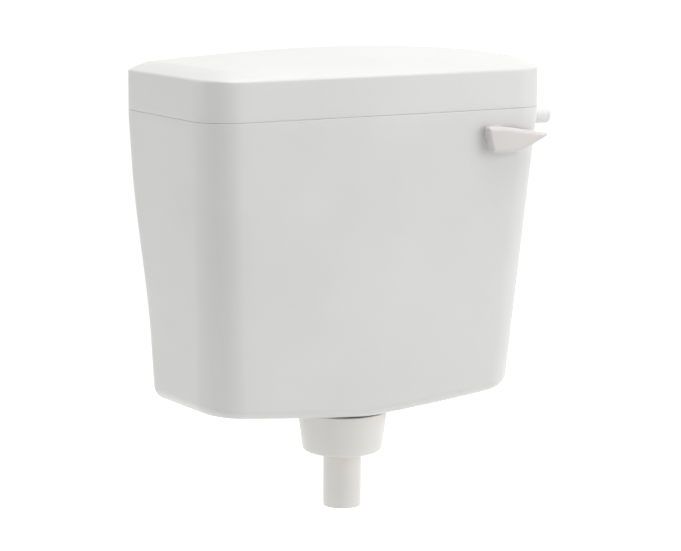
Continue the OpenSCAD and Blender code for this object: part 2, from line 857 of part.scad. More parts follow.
module siphon_cover() {
    color("Snow")
    difference() {
        translate([0, 0, weir_z + seat_gap])
            linear_extrude(height = cover_h - seat_gap)
                siphon_plan(cover_r);
        translate([0, 0, weir_z - cut])
            linear_extrude(height = cover_h - cover_wall + cut)
                siphon_plan(cover_r - cover_wall);
        bar_z(weir_z, cover_top + cut, chamber_x, outlet_y, guide_r + seat_gap);
    }
}

module siphon_seal() {
    color("DimGray")
    ring_z(floor_top + seat_gap, flange_under - seat_gap, 0, outlet_y, flange_r + 2, tail_r + seat_gap);
}

module siphon_back_nut() {
    color("Gainsboro")
    difference() {
        union() {
            bar_z(floor_under - back_nut_h, floor_under - seat_gap, 0, outlet_y, back_nut_r);
            for (i = [0 : 5])
                translate([0, outlet_y, floor_under - back_nut_h])
                    rotate([0, 0, 60 * i + 15])
                        translate([back_nut_r - 3, -3, 0])
                            cube([5, 6, back_nut_h - seat_gap]);
        }
        bar_z(floor_under - back_nut_h - cut, floor_under + cut, 0, outlet_y, tail_r + seat_gap);
    }
}

// Outlet below the floor

module pipe_nut() {
    color("Gainsboro")
    difference() {
        union() {
            bar_z(pipe_nut_end, pipe_nut_top, 0, outlet_y, pipe_nut_r);
            for (i = [0 : 7])
                translate([0, outlet_y, pipe_nut_end])
                    rotate([0, 0, 45 * i])
                        translate([pipe_nut_r - 3, -2, 0])
                            cube([5, 4, pipe_nut_top - pipe_nut_end]);
        }
        bar_z(pipe_nut_end + pipe_nut_lip, pipe_nut_top + cut, 0, outlet_y, tail_r + seat_gap);
        bar_z(pipe_nut_end - cut, pipe_nut_top, 0, outlet_y, socket_r);
    }
}

module pipe_seal() {
    color("DimGray")
    ring_z(
        pipe_nut_end + pipe_nut_lip + seat_gap, tail_end - seat_gap,
        0, outlet_y, tail_r, spigot_r + seat_gap);
}

module flush_pipe() {
    color("WhiteSmoke")
    difference() {
        union() {
            bar_z(pipe_end, shroud_end, 0, outlet_y, pipe_r);
            bar_z(pipe_end, pipe_top, 0, outlet_y, spigot_r);
        }
        bar_z(pipe_end - cut, pipe_top + cut, 0, outlet_y, pipe_r - pipe_wall);
    }
}

// Outer profile of the shroud from its foot hole to its top, and the same line one wall further in
module outlet_shroud() {
    slope = (shroud_top_r - shroud_foot_r) / shroud_h;
    foot_in = shroud_edge_r - shroud_wall;
    outer = [
        for (i = [0 : 6])
            [shroud_foot_r - shroud_edge_r * (1 - sin(15 * i)), shroud_edge_r * (1 - cos(15 * i))]
    ];
    inner = [
        for (i = [6 : -1 : 0])
            [shroud_foot_r - shroud_edge_r + foot_in * sin(15 * i), shroud_edge_r - foot_in * cos(15 * i)]
    ];
    profile = concat(
        [[pipe_r + free_gap, 0]],
        outer,
        [[shroud_top_r, shroud_h], [shroud_top_r - shroud_wall, shroud_h]],
        inner,
        [[pipe_r + free_gap, shroud_wall]]
    );
    rib_in = back_nut_r + 2 + free_gap;
    color("WhiteSmoke")
    translate([0, outlet_y, shroud_end])
        union() {
            rotate_extrude()
                polygon(profile);
            for (i = [0 : 3])
                rotate([0, 0, 90 * i + 30])
                    translate([rib_in, -1, shroud_edge_r + 6])
                        cube([shroud_foot_r - rib_in + slope * 6, 2, shroud_h - shroud_edge_r - 8]);
        }
}

// Inlet valve

module inlet_valve() {
    color("WhiteSmoke")
    difference() {
        union() {
            bar_x(valve_left, valve_root, inlet_y, inlet_z, valve_r);
            bar_x(valve_root, valve_root + inner_flange_t, inlet_y, inlet_z, inner_flange_r);
            bar_x(valve_root, inlet_step, inlet_y, inlet_z, inlet_shank_r);
            bar_x(valve_root, inlet_end, inlet_y, inlet_z, inlet_r);
            bar_z(inlet_z - valve_r - spout_len, inlet_z, port_x, inlet_y, port_r + 2);
            for (side = [-1, 1])
                translate([hinge_x, inlet_y + side * (ear_gap + ear_t / 2), 0])
                    hinge_ear();
        }
        bar_x(valve_left - cut, nozzle_face + nozzle_t, inlet_y, inlet_z, bore_r);
        bar_x(valve_left, inlet_end + cut, inlet_y, inlet_z, waterway_r);
        bar_z(inlet_z - valve_r - spout_len - cut, inlet_z, port_x, inlet_y, port_r);
        translate([slot_x - slot_w / 2 - 2, inlet_y - ear_gap, hinge_z - 8])
            cube([piston_travel + slot_w + 4, 2 * ear_gap, hinge_drop + 8]);
        bar_y(
            inlet_y - ear_gap - ear_t - cut, inlet_y + ear_gap + ear_t + cut,
            hinge_x, hinge_z, pin_r + seat_gap);
    }
}

// One ear of the float hinge, hung from the valve body
module hinge_ear() {
    translate([-5, -ear_t / 2, hinge_z])
        cube([10, ear_t, hinge_drop - 4]);
    translate([0, -ear_t / 2, hinge_z])
        rotate([-90, 0, 0])
            cylinder(r = 5, h = ear_t);
}

module inlet_inner_washer() {
    color("DimGray")
    difference() {
        bar_x(
            inlet_pad_in - inner_washer_t + seat_gap, inlet_pad_in - seat_gap,
            inlet_y, inlet_z, inlet_pad_r);
        bar_x(inlet_pad_in - 2 * inner_washer_t, inlet_pad_out, inlet_y, inlet_z, inlet_shank_r + seat_gap);
    }
}

module inlet_outer_washer() {
    color("DimGray")
    difference() {
        bar_x(
            inlet_pad_out + seat_gap, inlet_pad_out + outer_washer_t - seat_gap,
            inlet_y, inlet_z, inlet_pad_r - shank_step);
        bar_x(inlet_pad_in, inlet_pad_out + 2 * outer_washer_t, inlet_y, inlet_z, inlet_shank_r + seat_gap);
    }
}

module inlet_back_nut() {
    x1 = inlet_pad_out + outer_washer_t;
    color("WhiteSmoke")
    difference() {
        translate([x1, inlet_y, inlet_z])
            rotate([0, 90, 0])
                rotate([0, 0, 30])
                    cylinder(r = inlet_nut_across / 2 / cos(30), h = inlet_nut_t, $fn = 6);
        bar_x(x1 - cut, x1 + inlet_nut_t + cut, inlet_y, inlet_z, inlet_shank_r + seat_gap);
    }
}

module valve_nozzle() {
    color("Peru")
    difference() {
        bar_x(nozzle_face, nozzle_face + nozzle_t - seat_gap, inlet_y, inlet_z, bore_r - seat_gap);
        bar_x(nozzle_face - cut, nozzle_face + nozzle_t + cut, inlet_y, inlet_z, waterway_r / 2);
    }
}

module valve_piston() {
    color("Gainsboro")
    difference() {
        bar_x(piston_left, piston_front, inlet_y, inlet_z, piston_r);
        translate([slot_x - slot_w / 2, inlet_y - ear_gap + 1, inlet_z - 2 * piston_r])
            cube([slot_w, 2 * (ear_gap - 1), 2 * piston_r + 2]);
    }
}

module piston_washer() {
    color("DimGray")
    bar_x(piston_front + seat_gap, piston_front + piston_washer_t, inlet_y, inlet_z, piston_r - 1);
}

module valve_end_cap() {
    color("WhiteSmoke")
    union() {
        bar_x(valve_left - cap_t, valve_left - seat_gap, inlet_y, inlet_z, valve_r - 0.5);
        bar_x(valve_left - seat_gap - cut, valve_left + 2, inlet_y, inlet_z, bore_r - seat_gap);
    }
}

module silencer_tube() {
    top = inlet_z - valve_r - 2;
    color("WhiteSmoke")
    ring_z(
        top - silencer_len, top, port_x, inlet_y,
        port_r + 2 + silencer_wall + seat_gap, port_r + 2 + seat_gap);
}

// Float group

module float_hinge_pin() {
    reach = ear_gap + ear_t;
    color("Goldenrod")
    union() {
        bar_y(inlet_y - reach - 1, inlet_y + reach + 1, hinge_x, hinge_z, pin_r);
        bar_y(inlet_y - reach - 2, inlet_y - reach - seat_gap, hinge_x, hinge_z, pin_r + 1.2);
    }
}

// Float group turned to its place with the tank empty
module at_float() {
    translate([hinge_x, inlet_y, hinge_z])
        rotate([0, -float_low, 0])
            children();
}

module float_arm() {
    hub = 4.2;
    heel_turn = float_swing / 2;
    color("WhiteSmoke")
    difference() {
        union() {
            bar_y(inlet_y - ear_gap + free_gap, inlet_y + ear_gap - free_gap, hinge_x, hinge_z, hub);
            at_float()
                bar_x(-float_reach + ball_r - 8, -hub + 1, 0, 0, arm_rod_r);
            translate([hinge_x, inlet_y, hinge_z])
                rotate([0, -heel_turn, 0])
                    translate([-heel_w / 2, -2.5, 0])
                        cube([heel_w, 5, heel_len]);
        }
        bar_y(inlet_y - ear_gap - cut, inlet_y + ear_gap + cut, hinge_x, hinge_z, pin_r + running_gap);
    }
}

module float_lock_nut() {
    color("WhiteSmoke")
    at_float()
        difference() {
            translate([-float_reach + ball_r + 4 + seat_gap, 0, 0])
                rotate([0, 90, 0])
                    cylinder(r = arm_rod_r + 4, h = float_nut_h, $fn = 6);
            bar_x(-float_reach, 0, 0, 0, arm_rod_r + seat_gap);
        }
}

module float_ball() {
    color("OrangeRed")
    at_float()
        difference() {
            union() {
                translate([-float_reach, 0, 0])
                    sphere(r = ball_r);
                bar_x(-float_reach, -float_reach + ball_r + 4, 0, 0, arm_rod_r + 4);
            }
            bar_x(-float_reach + ball_r - 8 - seat_gap, 0, 0, 0, arm_rod_r + seat_gap);
        }
}

tank();
lid();
lever_handle();
lever_spindle();
handle_screw();
lever_bush();
bush_washer();
bush_nut();
spindle_clip();
lift_arm();
arm_screw();
lift_link();
plunger_rod();
rod_guide();
plunger_plate();
diaphragm();
diaphragm_washer();
plunger_nut();
plate_nut();
siphon_body();
siphon_leg();
siphon_cover();
siphon_seal();
siphon_back_nut();
pipe_nut();
pipe_seal();
flush_pipe();
outlet_shroud();
inlet_valve();
inlet_inner_washer();
inlet_outer_washer();
inlet_back_nut();
valve_nozzle();
valve_piston();
piston_washer();
valve_end_cap();
silencer_tube();
float_hinge_pin();
float_arm();
float_lock_nut();
float_ball();
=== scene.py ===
import json
import math

import bmesh
import bpy
import numpy as np
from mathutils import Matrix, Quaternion, Vector


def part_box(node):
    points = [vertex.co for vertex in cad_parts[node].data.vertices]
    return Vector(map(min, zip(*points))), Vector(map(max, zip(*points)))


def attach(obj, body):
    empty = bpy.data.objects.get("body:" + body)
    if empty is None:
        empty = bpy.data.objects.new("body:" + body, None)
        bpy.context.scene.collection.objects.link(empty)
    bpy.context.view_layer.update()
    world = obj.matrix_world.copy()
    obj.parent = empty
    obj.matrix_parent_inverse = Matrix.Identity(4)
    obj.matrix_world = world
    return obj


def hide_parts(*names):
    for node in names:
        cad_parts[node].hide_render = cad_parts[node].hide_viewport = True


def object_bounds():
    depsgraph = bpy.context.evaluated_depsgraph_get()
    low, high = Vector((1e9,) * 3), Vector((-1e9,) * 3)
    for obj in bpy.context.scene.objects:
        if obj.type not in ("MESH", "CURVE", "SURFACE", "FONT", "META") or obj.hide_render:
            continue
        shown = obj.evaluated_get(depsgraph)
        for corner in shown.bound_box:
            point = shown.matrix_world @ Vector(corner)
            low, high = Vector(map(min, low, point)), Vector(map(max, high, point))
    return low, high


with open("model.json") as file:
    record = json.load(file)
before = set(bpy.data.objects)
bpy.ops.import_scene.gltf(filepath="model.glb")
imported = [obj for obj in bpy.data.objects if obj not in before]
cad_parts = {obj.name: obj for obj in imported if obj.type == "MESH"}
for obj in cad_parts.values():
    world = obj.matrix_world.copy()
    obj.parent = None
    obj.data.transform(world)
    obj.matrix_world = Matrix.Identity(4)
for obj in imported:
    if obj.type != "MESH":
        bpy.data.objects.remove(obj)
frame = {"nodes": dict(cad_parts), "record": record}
cad_low, cad_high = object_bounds()

# Wall-hung toilet cistern, in metres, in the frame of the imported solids:
# +X to the right seen from the front, +Y towards the wall, +Z up.
X, Y, Z = 0, 1, 2
RIGHT, TO_WALL, UP = (1, 0, 0), (0, 1, 0), (0, 0, 1)
MM = 0.001

# Tank walls
BACK_W, FRONT_W = 0.410, 0.390
RIM_DEPTH, RIM_BOW = 0.185, 0.001
BASE_BACK_W, BASE_FRONT_W = 0.375, 0.356
BASE_DEPTH, BASE_BOW = 0.1585, 0.0065
BACK_STEP, STEP_START = 0.0175, 0.18
BODY_H, RIM_BAND = 0.312, 0.0085
BASE_RISE, RISE_POWER = 0.015, 1.19
FRONT_R, BACK_R, BASE_R = 0.038, 0.022, 0.013
WALL = 0.004
RIM_Z = 0.035
LOW_Z = RIM_Z - BODY_H
CREASE = 0.012
RIM_EDGE_R, LEAST_CORNER_R = 0.0007, 0.001

# Rim tongue and lid
TONGUE_H, TONGUE_IN, TONGUE_EDGE_R = 0.006, 0.002, 0.0006
LID_H, LID_EDGE_R, LID_WALL = 0.040, 0.003, 0.0035
SHOULDER_W, SHOULDER_H, SHOULDER_POWER = 0.022, 0.007, 1.25
CROWN_H, CROWN_POWER = 0.0125, 3.6
LID_LIP, LID_SEAT, LAP_GAP = 0.0016, 0.0001, 0.0004
LID_FOOT_R = 0.0007

# Holes and pads of the tank
HOLE_GAP, PAD_PROUD = 0.0005, 0.002
TAIL_R, SHANK_R, SLEEVE_R = 0.025, 0.01078, 0.008
OUTLET_PAD_R, INLET_PAD_W, BUSH_PAD_W = 0.039, 0.0021, 0.001
FIXING_SPAN, FIXING_HOLE_R, FIXING_PAD_R = 0.280, 0.0045, 0.012

# Flush handle
HANDLE_LEN, HANDLE_TAIL = 0.079, 0.0155
HANDLE_H, HANDLE_FALL = 0.0285, 0.011
HANDLE_DEPTH, HANDLE_WALL = 0.0085, 0.0025
HANDLE_EDGE_R, HANDLE_BACK_R, HANDLE_INNER_R = 0.0042, 0.0005, 0.001
HANDLE_HUB_R, TIP_SET_BACK = 0.009, 0.003
HANDLE_CORNER_R = (0.003, 0.150, 0.0018, 0.038, 0.004, 0.038)
HANDLE_LEAST_R = 0.0004
BUSH_FLANGE_T, FREE_GAP = 0.0015, 0.0004

# Round pieces that pass through others
SPINDLE_R, SCREW_R, ROD_R = 5 * MM, 1.5 * MM, 2.5 * MM
FLUSH_SOCKET_R = 20.1 * MM

# Clearance of fixed pieces, small rounding, and how far a cutting shape runs past a wall
FIT, FINE, PAST = 0.02 * MM, 0.3 * MM, 0.01

# Radius that the faces of a hexagon nut keep flat, as a share of its width across flats
WIDE_FLAT, NARROW_FLAT = 0.49, 0.48

# Counts along the surfaces, and the angle from which an edge is drawn sharp
CORNER, EDGE, SIDE = 24, 96, 28
TURN = 96
SHARP_ANGLE = math.radians(35)


def mix(a, b, t):
    return a + (b - a) * t


def middle(low, high):
    return (low + high) / 2


def box(node):
    """Lowest and highest corner of a solid as two arrays."""
    low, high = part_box(node)
    return np.array(low), np.array(high)


def on_axis(node, axis):
    """Point of the axis of a round solid with the distance along it left at nought,
    and the two ends of the solid along it."""
    low, high = box(node)
    centre = middle(low, high)
    centre[axis] = 0
    return centre, low[axis], high[axis]


# Surface builders: each gives vertices and faces

def skin(rings, wrap=False, poles=None):
    """Quads between successive closed rings.
    The row of rings closes on itself, or ends in two pole points."""
    rows, cols = rings.shape[:2]
    a = np.arange(rows if wrap else rows - 1)[:, None] * cols
    b = (a + cols) % (rows * cols)
    i = np.arange(cols)[None]
    j = (i + 1) % cols
    faces = np.stack([a + i, a + j, b + j, b + i], -1).reshape(-1, 4).tolist()
    verts = rings.reshape(-1, 3)
    if poles is not None:
        first = len(verts)
        verts = np.vstack([verts, poles])
        i, j = i[0], j[0]
        last_row = (rows - 1) * cols
        faces += np.stack([np.full(cols, first), j, i], -1).tolist()
        faces += np.stack([np.full(cols, first + 1), last_row + i, last_row + j], -1).tolist()
    return verts, faces


def corner_arc(before, tip, after, r, steps):
    """Arc of radius r tangent to the two sides that meet at a tip."""
    a = (before - tip) / np.linalg.norm(before - tip)
    b = (after - tip) / np.linalg.norm(after - tip)
    half = math.acos(np.clip(a @ b, -1, 1)) / 2
    arc_centre = tip + (a + b) / np.linalg.norm(a + b) * r / math.sin(half)
    start = tip + a * r / math.tan(half) - arc_centre
    way = 1 if a[0] * b[1] - a[1] * b[0] < 0 else -1
    sweep = way * np.linspace(0, math.pi - 2 * half, steps + 1)
    angle = math.atan2(start[1], start[0]) + sweep
    return arc_centre + r * np.stack([np.cos(angle), np.sin(angle)], -1)


def corner_arcs(tips, radii, steps):
    """Arcs at all the tips of a closed outline, each with its own radius."""
    tips = np.asarray(tips, float)
    after = np.roll(tips, -1, 0)
    return [corner_arc(tips[k - 1], tips[k], after[k], radii[k], steps) for k in range(len(tips))]


def rounded(tips, radii, steps=6):
    """Closed outline through a row of tips, each rounded by its own arc."""
    return np.vstack(corner_arcs(tips, radii, steps))


def edge_arc(r, angles):
    """Distance in and distance down of a rounded edge, at angles from its upright side."""
    return list(zip(r * (1 - np.cos(angles)), r * (1 - np.sin(angles))))


def axes_of(axis):
    """Two directions square to an axis, and the axis itself."""
    nearly_upright = 0.9
    w = np.array(axis, float) / np.linalg.norm(axis)
    u = np.cross(w, UP if abs(w[2]) < nearly_upright else RIGHT)
    u /= np.linalg.norm(u)
    return u, np.cross(w, u), w


def turn_angles(steps=TURN):
    return np.linspace(0, 2 * math.pi, steps, endpoint=False)


def polar(stations, centre, axis, steps=TURN):
    """Surface round an axis. Each station gives a radius, or one radius per angle,
    and a distance along the axis. Stations that start and end on the axis close in
    two poles, any others close on themselves."""
    u, v, w = axes_of(axis)
    centre = np.array(centre, float)
    angle = turn_angles(steps)
    round_way = np.outer(np.cos(angle), u) + np.outer(np.sin(angle), v)
    radii = np.array([np.broadcast_to(r, steps) for r, _ in stations])
    along = np.array([d for _, d in stations])
    poles = None
    if not radii[0].any() and not radii[-1].any():
        poles = centre + along[[0, -1], None] * w
        radii, along = radii[1:-1], along[1:-1]
    rings = centre + along[:, None, None] * w + radii[:, :, None] * round_way
    return skin(rings, wrap=poles is None, poles=poles)


def turned(tips, radii, centre, axis, steps=TURN, bend=4):
    """Closed profile of (radius, distance) tips, each rounded by its own arc,
    carried round an axis."""
    return polar(rounded(tips, radii, bend), centre, axis, steps)


def plain_ring(bore, r, ends, edges, centre, axis, steps=TURN):
    """Ring between two distances along an axis, with one rounding inside and one outside."""
    low, high = ends
    inner_edge, outer_edge = edges
    tips = [(bore, low), (r, low), (r, high), (bore, high)]
    return turned(tips, [inner_edge, outer_edge, outer_edge, inner_edge], centre, axis, steps)


def cylinder_between(low, high, centre, axis, r):
    """Closed round bar between two distances along an axis."""
    return polar([(0, low), (r, low), (r, high), (0, high)], centre, axis)


def thread(r, depth, pitch, low, high, per_turn=10):
    """Stations of a screw thread: the radius falls and rises once per pitch, and the
    crest climbs one pitch per turn. The cut fades out at both ends."""
    steepness, crest = 1.25, 0.1
    along = np.linspace(low, high, int((high - low) / pitch * per_turn))
    wave = (along[:, None] / pitch - turn_angles()[None] / (2 * math.pi)) % 1
    fade = np.clip(np.minimum(along - low, high - along) / pitch, 0, 1)[:, None]
    cut = np.clip(steepness * np.abs(2 * wave - 1) - crest, 0, 1)
    return list(zip(r - depth * fade * cut, along))


def nut(outline_r, flat_r, bore, low, high):
    """Stations of a nut: an outline chamfered at both faces by a cone,
    and a bore with a short lead at each end."""
    slope, shares = 0.6, np.array([0, 0.3, 0.65, 1])
    depths = shares * (outline_r.max() - flat_r) * slope
    chamfer = [(np.minimum(outline_r, flat_r + d / slope), d) for d in depths]
    stations = [(bore, low + FINE), (bore + FINE, low)]
    stations += [(r, low + d) for r, d in chamfer]
    stations += [(r, high - d) for r, d in chamfer[::-1]]
    return stations + [(bore + FINE, high), (bore, high - FINE)]


def hexagon_nut(across, flat, bore, ends, centre, axis, turn=0.0):
    """Nut with six flats, from its width across them, the share of that width
    that is the flat radius of its faces, its bore and its two ends along the axis."""
    off_flat = (turn_angles() + turn) % (math.pi / 3) - math.pi / 6
    return polar(nut(across / 2 / np.cos(off_flat), flat * across, bore, *ends), centre, axis)


def lugs(r, reach, count, width, turn=0.0):
    """Radius of a round nut with square lugs standing out at even angles."""
    flank = 0.15
    half = width / 2 / r
    apart = 2 * math.pi / count
    off = np.abs((turn_angles(4 * TURN) - turn + apart / 2) % apart - apart / 2)
    return r + reach * np.clip((half * (1 + flank) - off) / (2 * half * flank), 0, 1)


def moved_in(tips, inset):
    """Tips of a convex outline moved in from both of their edges."""
    tips = np.asarray(tips, float)
    a, b = np.roll(tips, 1, 0) - tips, np.roll(tips, -1, 0) - tips
    a /= np.linalg.norm(a, axis=1, keepdims=True)
    b /= np.linalg.norm(b, axis=1, keepdims=True)
    half = np.arccos((a * b).sum(1, keepdims=True)) / 2
    inward = (a + b) / np.linalg.norm(a + b, axis=1, keepdims=True)
    return tips + inward * inset / np.sin(half)


def slab(tips, radii, low, high, axis, edge, steps=6):
    """Plate: a convex outline with rounded corners carried between two distances along
    a main axis, its faces rounded off at the edge by a quarter circle."""
    least_r = 0.1 * MM
    bend = edge_arc(edge, np.linspace(math.pi / 2, 0, 5))
    stations = [(inset, low + d) for inset, d in bend]
    stations += [(inset, high - d) for inset, d in bend[::-1]]
    rings = []
    for inset, at in stations:
        corner_r = [max(least_r, r - inset) for r in radii]
        plan = rounded(moved_in(tips, inset), corner_r, steps)
        rings.append(np.insert(plan, axis, at, axis=1))
    poles = [np.insert(np.mean(tips, 0), axis, at) for at in (low, high)]
    return skin(np.array(rings), poles=np.array(poles))


def rectangle(low, high):
    """Corners of a rectangle between two points of a plane."""
    return [[low[0], low[1]], [high[0], low[1]], [high[0], high[1]], [low[0], high[1]]]


# Objects made from the surfaces

def closed_mesh(name, parts):
    """Mesh of one or more closed surfaces, with all faces turned outwards."""
    verts, faces, shift = [], [], 0
    for part_verts, part_faces in parts:
        verts.append(part_verts)
        faces += [[i + shift for i in face] for face in part_faces]
        shift += len(part_verts)
    mesh = bpy.data.meshes.new(name)
    mesh.from_pydata(np.vstack(verts).tolist(), [], faces)
    work = bmesh.new()
    work.from_mesh(mesh)
    bmesh.ops.recalc_face_normals(work, faces=work.faces)
    work.to_mesh(mesh)
    work.free()
    return mesh


def shade(mesh):
    """Smooth shading, with the sharp edges kept."""
    mesh.shade_smooth()
    mesh.set_sharp_from_angle(angle=SHARP_ANGLE)


def placed(name, data):
    """New object in the scene."""
    made = bpy.data.objects.new(name, data)
    bpy.context.scene.collection.objects.link(made)
    return made


def piece(name, body, slot, parts, replaces, material=None):
    """Mesh object from closed surfaces, riding on a body in place of its solids.
    It has the finish of its slot unless another is given."""
    mesh = closed_mesh(name, parts)
    shade(mesh)
    mesh.materials.append(material or FINISH[slot])
    made = placed(name, mesh)
    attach(made, body)
    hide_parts(*replaces)
    return made


def combine(made, operation, *parts):
    """Joins closed shapes to a piece, or cuts them out of it, and keeps the result as its mesh."""
    helper = placed("shape_helper", closed_mesh("shape_helper", parts))
    tool = made.modifiers.new("shape", "BOOLEAN")
    tool.object = helper
    tool.operation = operation
    tool.solver = "MANIFOLD"
    bpy.context.view_layer.update()
    shaped = made.evaluated_get(bpy.context.evaluated_depsgraph_get())
    result = bpy.data.meshes.new_from_object(shaped)
    made.modifiers.clear()
    made.data = result
    shade(result)
    bpy.data.objects.remove(helper)


# Shape of the tank and lid

def taper(level):
    """Share of the taper reached at a share of the height, with the crease under
    the rim band softened."""
    t = (level * BODY_H - RIM_BAND) / (BODY_H - RIM_BAND)
    return (t + math.sqrt(t * t + CREASE * CREASE)) / 2


def outline(level, inset):
    """Plan of the tank at a share of its height: a trapezium with rounded corners, a bowed front
    and a back that steps away from the wall, all set in by a distance."""
    t = taper(level)
    step = min(1, max(0, (t - STEP_START) / (1 - 2 * STEP_START)))
    y_back = -BACK_STEP * step * step * (3 - 2 * step) - inset
    y_front = -mix(RIM_DEPTH, BASE_DEPTH, t) + inset
    back = mix(BACK_W, BASE_BACK_W, t) / 2 - inset
    front = mix(FRONT_W, BASE_FRONT_W, t) / 2 - inset
    tips = [[-back, y_back], [-front, y_front], [front, y_front], [back, y_back]]
    radii = [max(LEAST_CORNER_R, r - inset) for r in (BACK_R, FRONT_R, FRONT_R, BACK_R)]
    arcs = corner_arcs(tips, radii, CORNER)
    runs = []
    for k, count in enumerate((SIDE, EDGE, SIDE, EDGE)):
        share = np.arange(1, count)[:, None] / count
        runs += [arcs[k], mix(arcs[k][-1], arcs[(k + 1) % 4][0], share)]
    plan = np.vstack(runs)
    forward = np.clip((y_back - plan[:, 1]) / (y_back - y_front), 0, 1)
    bulge = np.maximum(0, 1 - (plan[:, 0] / front) ** 2)
    plan[:, 1] -= mix(RIM_BOW, BASE_BOW, t) * forward * bulge
    return plan


def base_lift(x):
    """Rise of the base over its lowest line, by distance from the middle."""
    return BASE_RISE * (np.abs(x) / (BASE_BACK_W / 2)) ** RISE_POWER


def level_ring(inset, z):
    """Level ring of the rim outline."""
    plan = outline(0, inset)
    return np.column_stack([plan, np.full(len(plan), z)])


def wall_ring(level, inset):
    """Ring of the side wall between the rim and the top of the base edge."""
    plan = outline(level, inset)
    return np.column_stack([plan, mix(RIM_Z, LOW_Z + BASE_R + base_lift(plan[:, 0]), level)])


def base_edge_ring(inset, above, raised):
    """Ring of the round edge between wall and base, set in and standing above the base."""
    plan = outline(1, inset)
    return np.column_stack([plan, LOW_Z + raised + base_lift(plan[:, 0]) + above])


def base_ring(share, raised):
    """Ring of the base, drawn in towards the middle."""
    plan = mix(np.array([0, base_middle_y()]), outline(1, BASE_R), share)
    return np.column_stack([plan, LOW_Z + raised + base_lift(plan[:, 0])])


def base_middle_y():
    return -(BACK_STEP + BASE_DEPTH) / 2


def round_off(inset, z, r, steps, start):
    """Rings of a small rounded edge, from an angle at its side up to its level top."""
    bend = edge_arc(r, np.linspace(start, math.pi / 2, steps))
    return [level_ring(inset + d_in, z - d_down) for d_in, d_down in bend]


def quarter(steps):
    """Angles strictly between 0 and a quarter turn."""
    return np.linspace(0, math.pi / 2, steps + 2)[1:-1]


def tank_shell():
    """Cup closed at its base: outer base, outer edge and wall, rim with its tongue,
    inner wall, edge and base."""
    tongue_top = RIM_Z + TONGUE_H
    tongue_side = tongue_top - TONGUE_EDGE_R
    first_level, innermost, tongue_start = 0.003, 0.06, math.pi / 6
    rings = [base_ring(share, 0) for share in np.linspace(innermost, 1, 16)]
    rings += [base_edge_ring(inset, d, 0) for inset, d in edge_arc(BASE_R, quarter(11)[::-1])]
    rings += [wall_ring(level, 0) for level in np.linspace(1, first_level, 96)]
    rings += round_off(0, RIM_Z, RIM_EDGE_R, 5, 0)
    rings += [level_ring(TONGUE_IN, RIM_Z), level_ring(TONGUE_IN, tongue_side)]
    rings += round_off(TONGUE_IN, tongue_top, TONGUE_EDGE_R, 4, tongue_start)
    rings += [level_ring(WALL - TONGUE_EDGE_R, tongue_top), level_ring(WALL, tongue_side)]
    rings += [wall_ring(level, WALL) for level in np.linspace(0, 1, 56)]
    rings += [base_edge_ring(WALL + inset, d, WALL)
              for inset, d in edge_arc(BASE_R - WALL, quarter(7))]
    rings += [base_ring(share, WALL) for share in np.linspace(1, innermost, 10)]
    poles = [[0, base_middle_y(), LOW_Z], [0, base_middle_y(), LOW_Z + WALL]]
    return skin(np.array(rings), poles=np.array(poles))


def shoulder(inset):
    """Rise of the lid shoulder at a distance in from the side."""
    return SHOULDER_H * (1 - (1 - inset / SHOULDER_W) ** SHOULDER_POWER)


def lid_ring(inset, z, draw=1.0):
    """Ring of the lid top: the rim outline set in from the side, drawn in towards the middle,
    and lifted by a crown that falls to the left and right with the square of the distance
    and to the front and back with a higher power."""
    x, y = mix(np.array([0, -RIM_DEPTH / 2]), outline(0, inset), draw).T
    across = np.maximum(0, 1 - (2 * x / BACK_W) ** 2)
    along = np.maximum(0, 1 - np.abs(2 * y / RIM_DEPTH + 1) ** CROWN_POWER)
    return np.column_stack([x, y, z + CROWN_H * across * along])


def lid_shell():
    """Cap open below: inner top and shoulder, inner side, lap over the tongue, rounded foot,
    outer side, edge, shoulder and top. The edge is an arc that runs from the upright side
    into the slope of the shoulder."""
    top = RIM_Z + LID_H
    seat = RIM_Z + LID_SEAT
    lap_top = RIM_Z + TONGUE_H + LAP_GAP
    cap_z = top + SHOULDER_H
    lean = math.atan(SHOULDER_H * SHOULDER_POWER / SHOULDER_W)
    edge_end = LID_EDGE_R * (1 - math.sin(lean))
    edge_z = top - edge_end / math.cos(lean)
    outermost, innermost = 0.97, 0.04
    draws = np.linspace(outermost, innermost, 40)
    rings = [lid_ring(SHOULDER_W, cap_z - LID_WALL, draw) for draw in draws[::-1]]
    rings += [lid_ring(inset, top + shoulder(inset) - LID_WALL)
              for inset in np.linspace(SHOULDER_W, LID_WALL, 14)]
    rings += [level_ring(LID_WALL, lap_top), level_ring(LID_LIP, lap_top)]
    rings += [level_ring(LID_LIP, seat), level_ring(LID_FOOT_R, seat)]
    rings += [level_ring(inset, seat + d) for inset, d in edge_arc(LID_FOOT_R, quarter(3)[::-1])]
    side_foot, side_top = level_ring(0, seat + LID_FOOT_R), lid_ring(0, edge_z)
    rings += [mix(side_foot, side_top, t) for t in np.linspace(0, 1, 12)]
    rings += [lid_ring(inset, edge_z + LID_EDGE_R - d)
              for inset, d in edge_arc(LID_EDGE_R, np.linspace(0, math.pi / 2 - lean, 12)[1:])]
    rings += [lid_ring(inset, top + shoulder(inset))
              for inset in np.linspace(edge_end, SHOULDER_W, 24)[1:]]
    rings += [lid_ring(SHOULDER_W, cap_z, draw) for draw in draws]
    poles = [[0, -RIM_DEPTH / 2, cap_z + CROWN_H - t] for t in (LID_WALL, 0)]
    return skin(np.array(rings), poles=np.array(poles))


# Flush handle

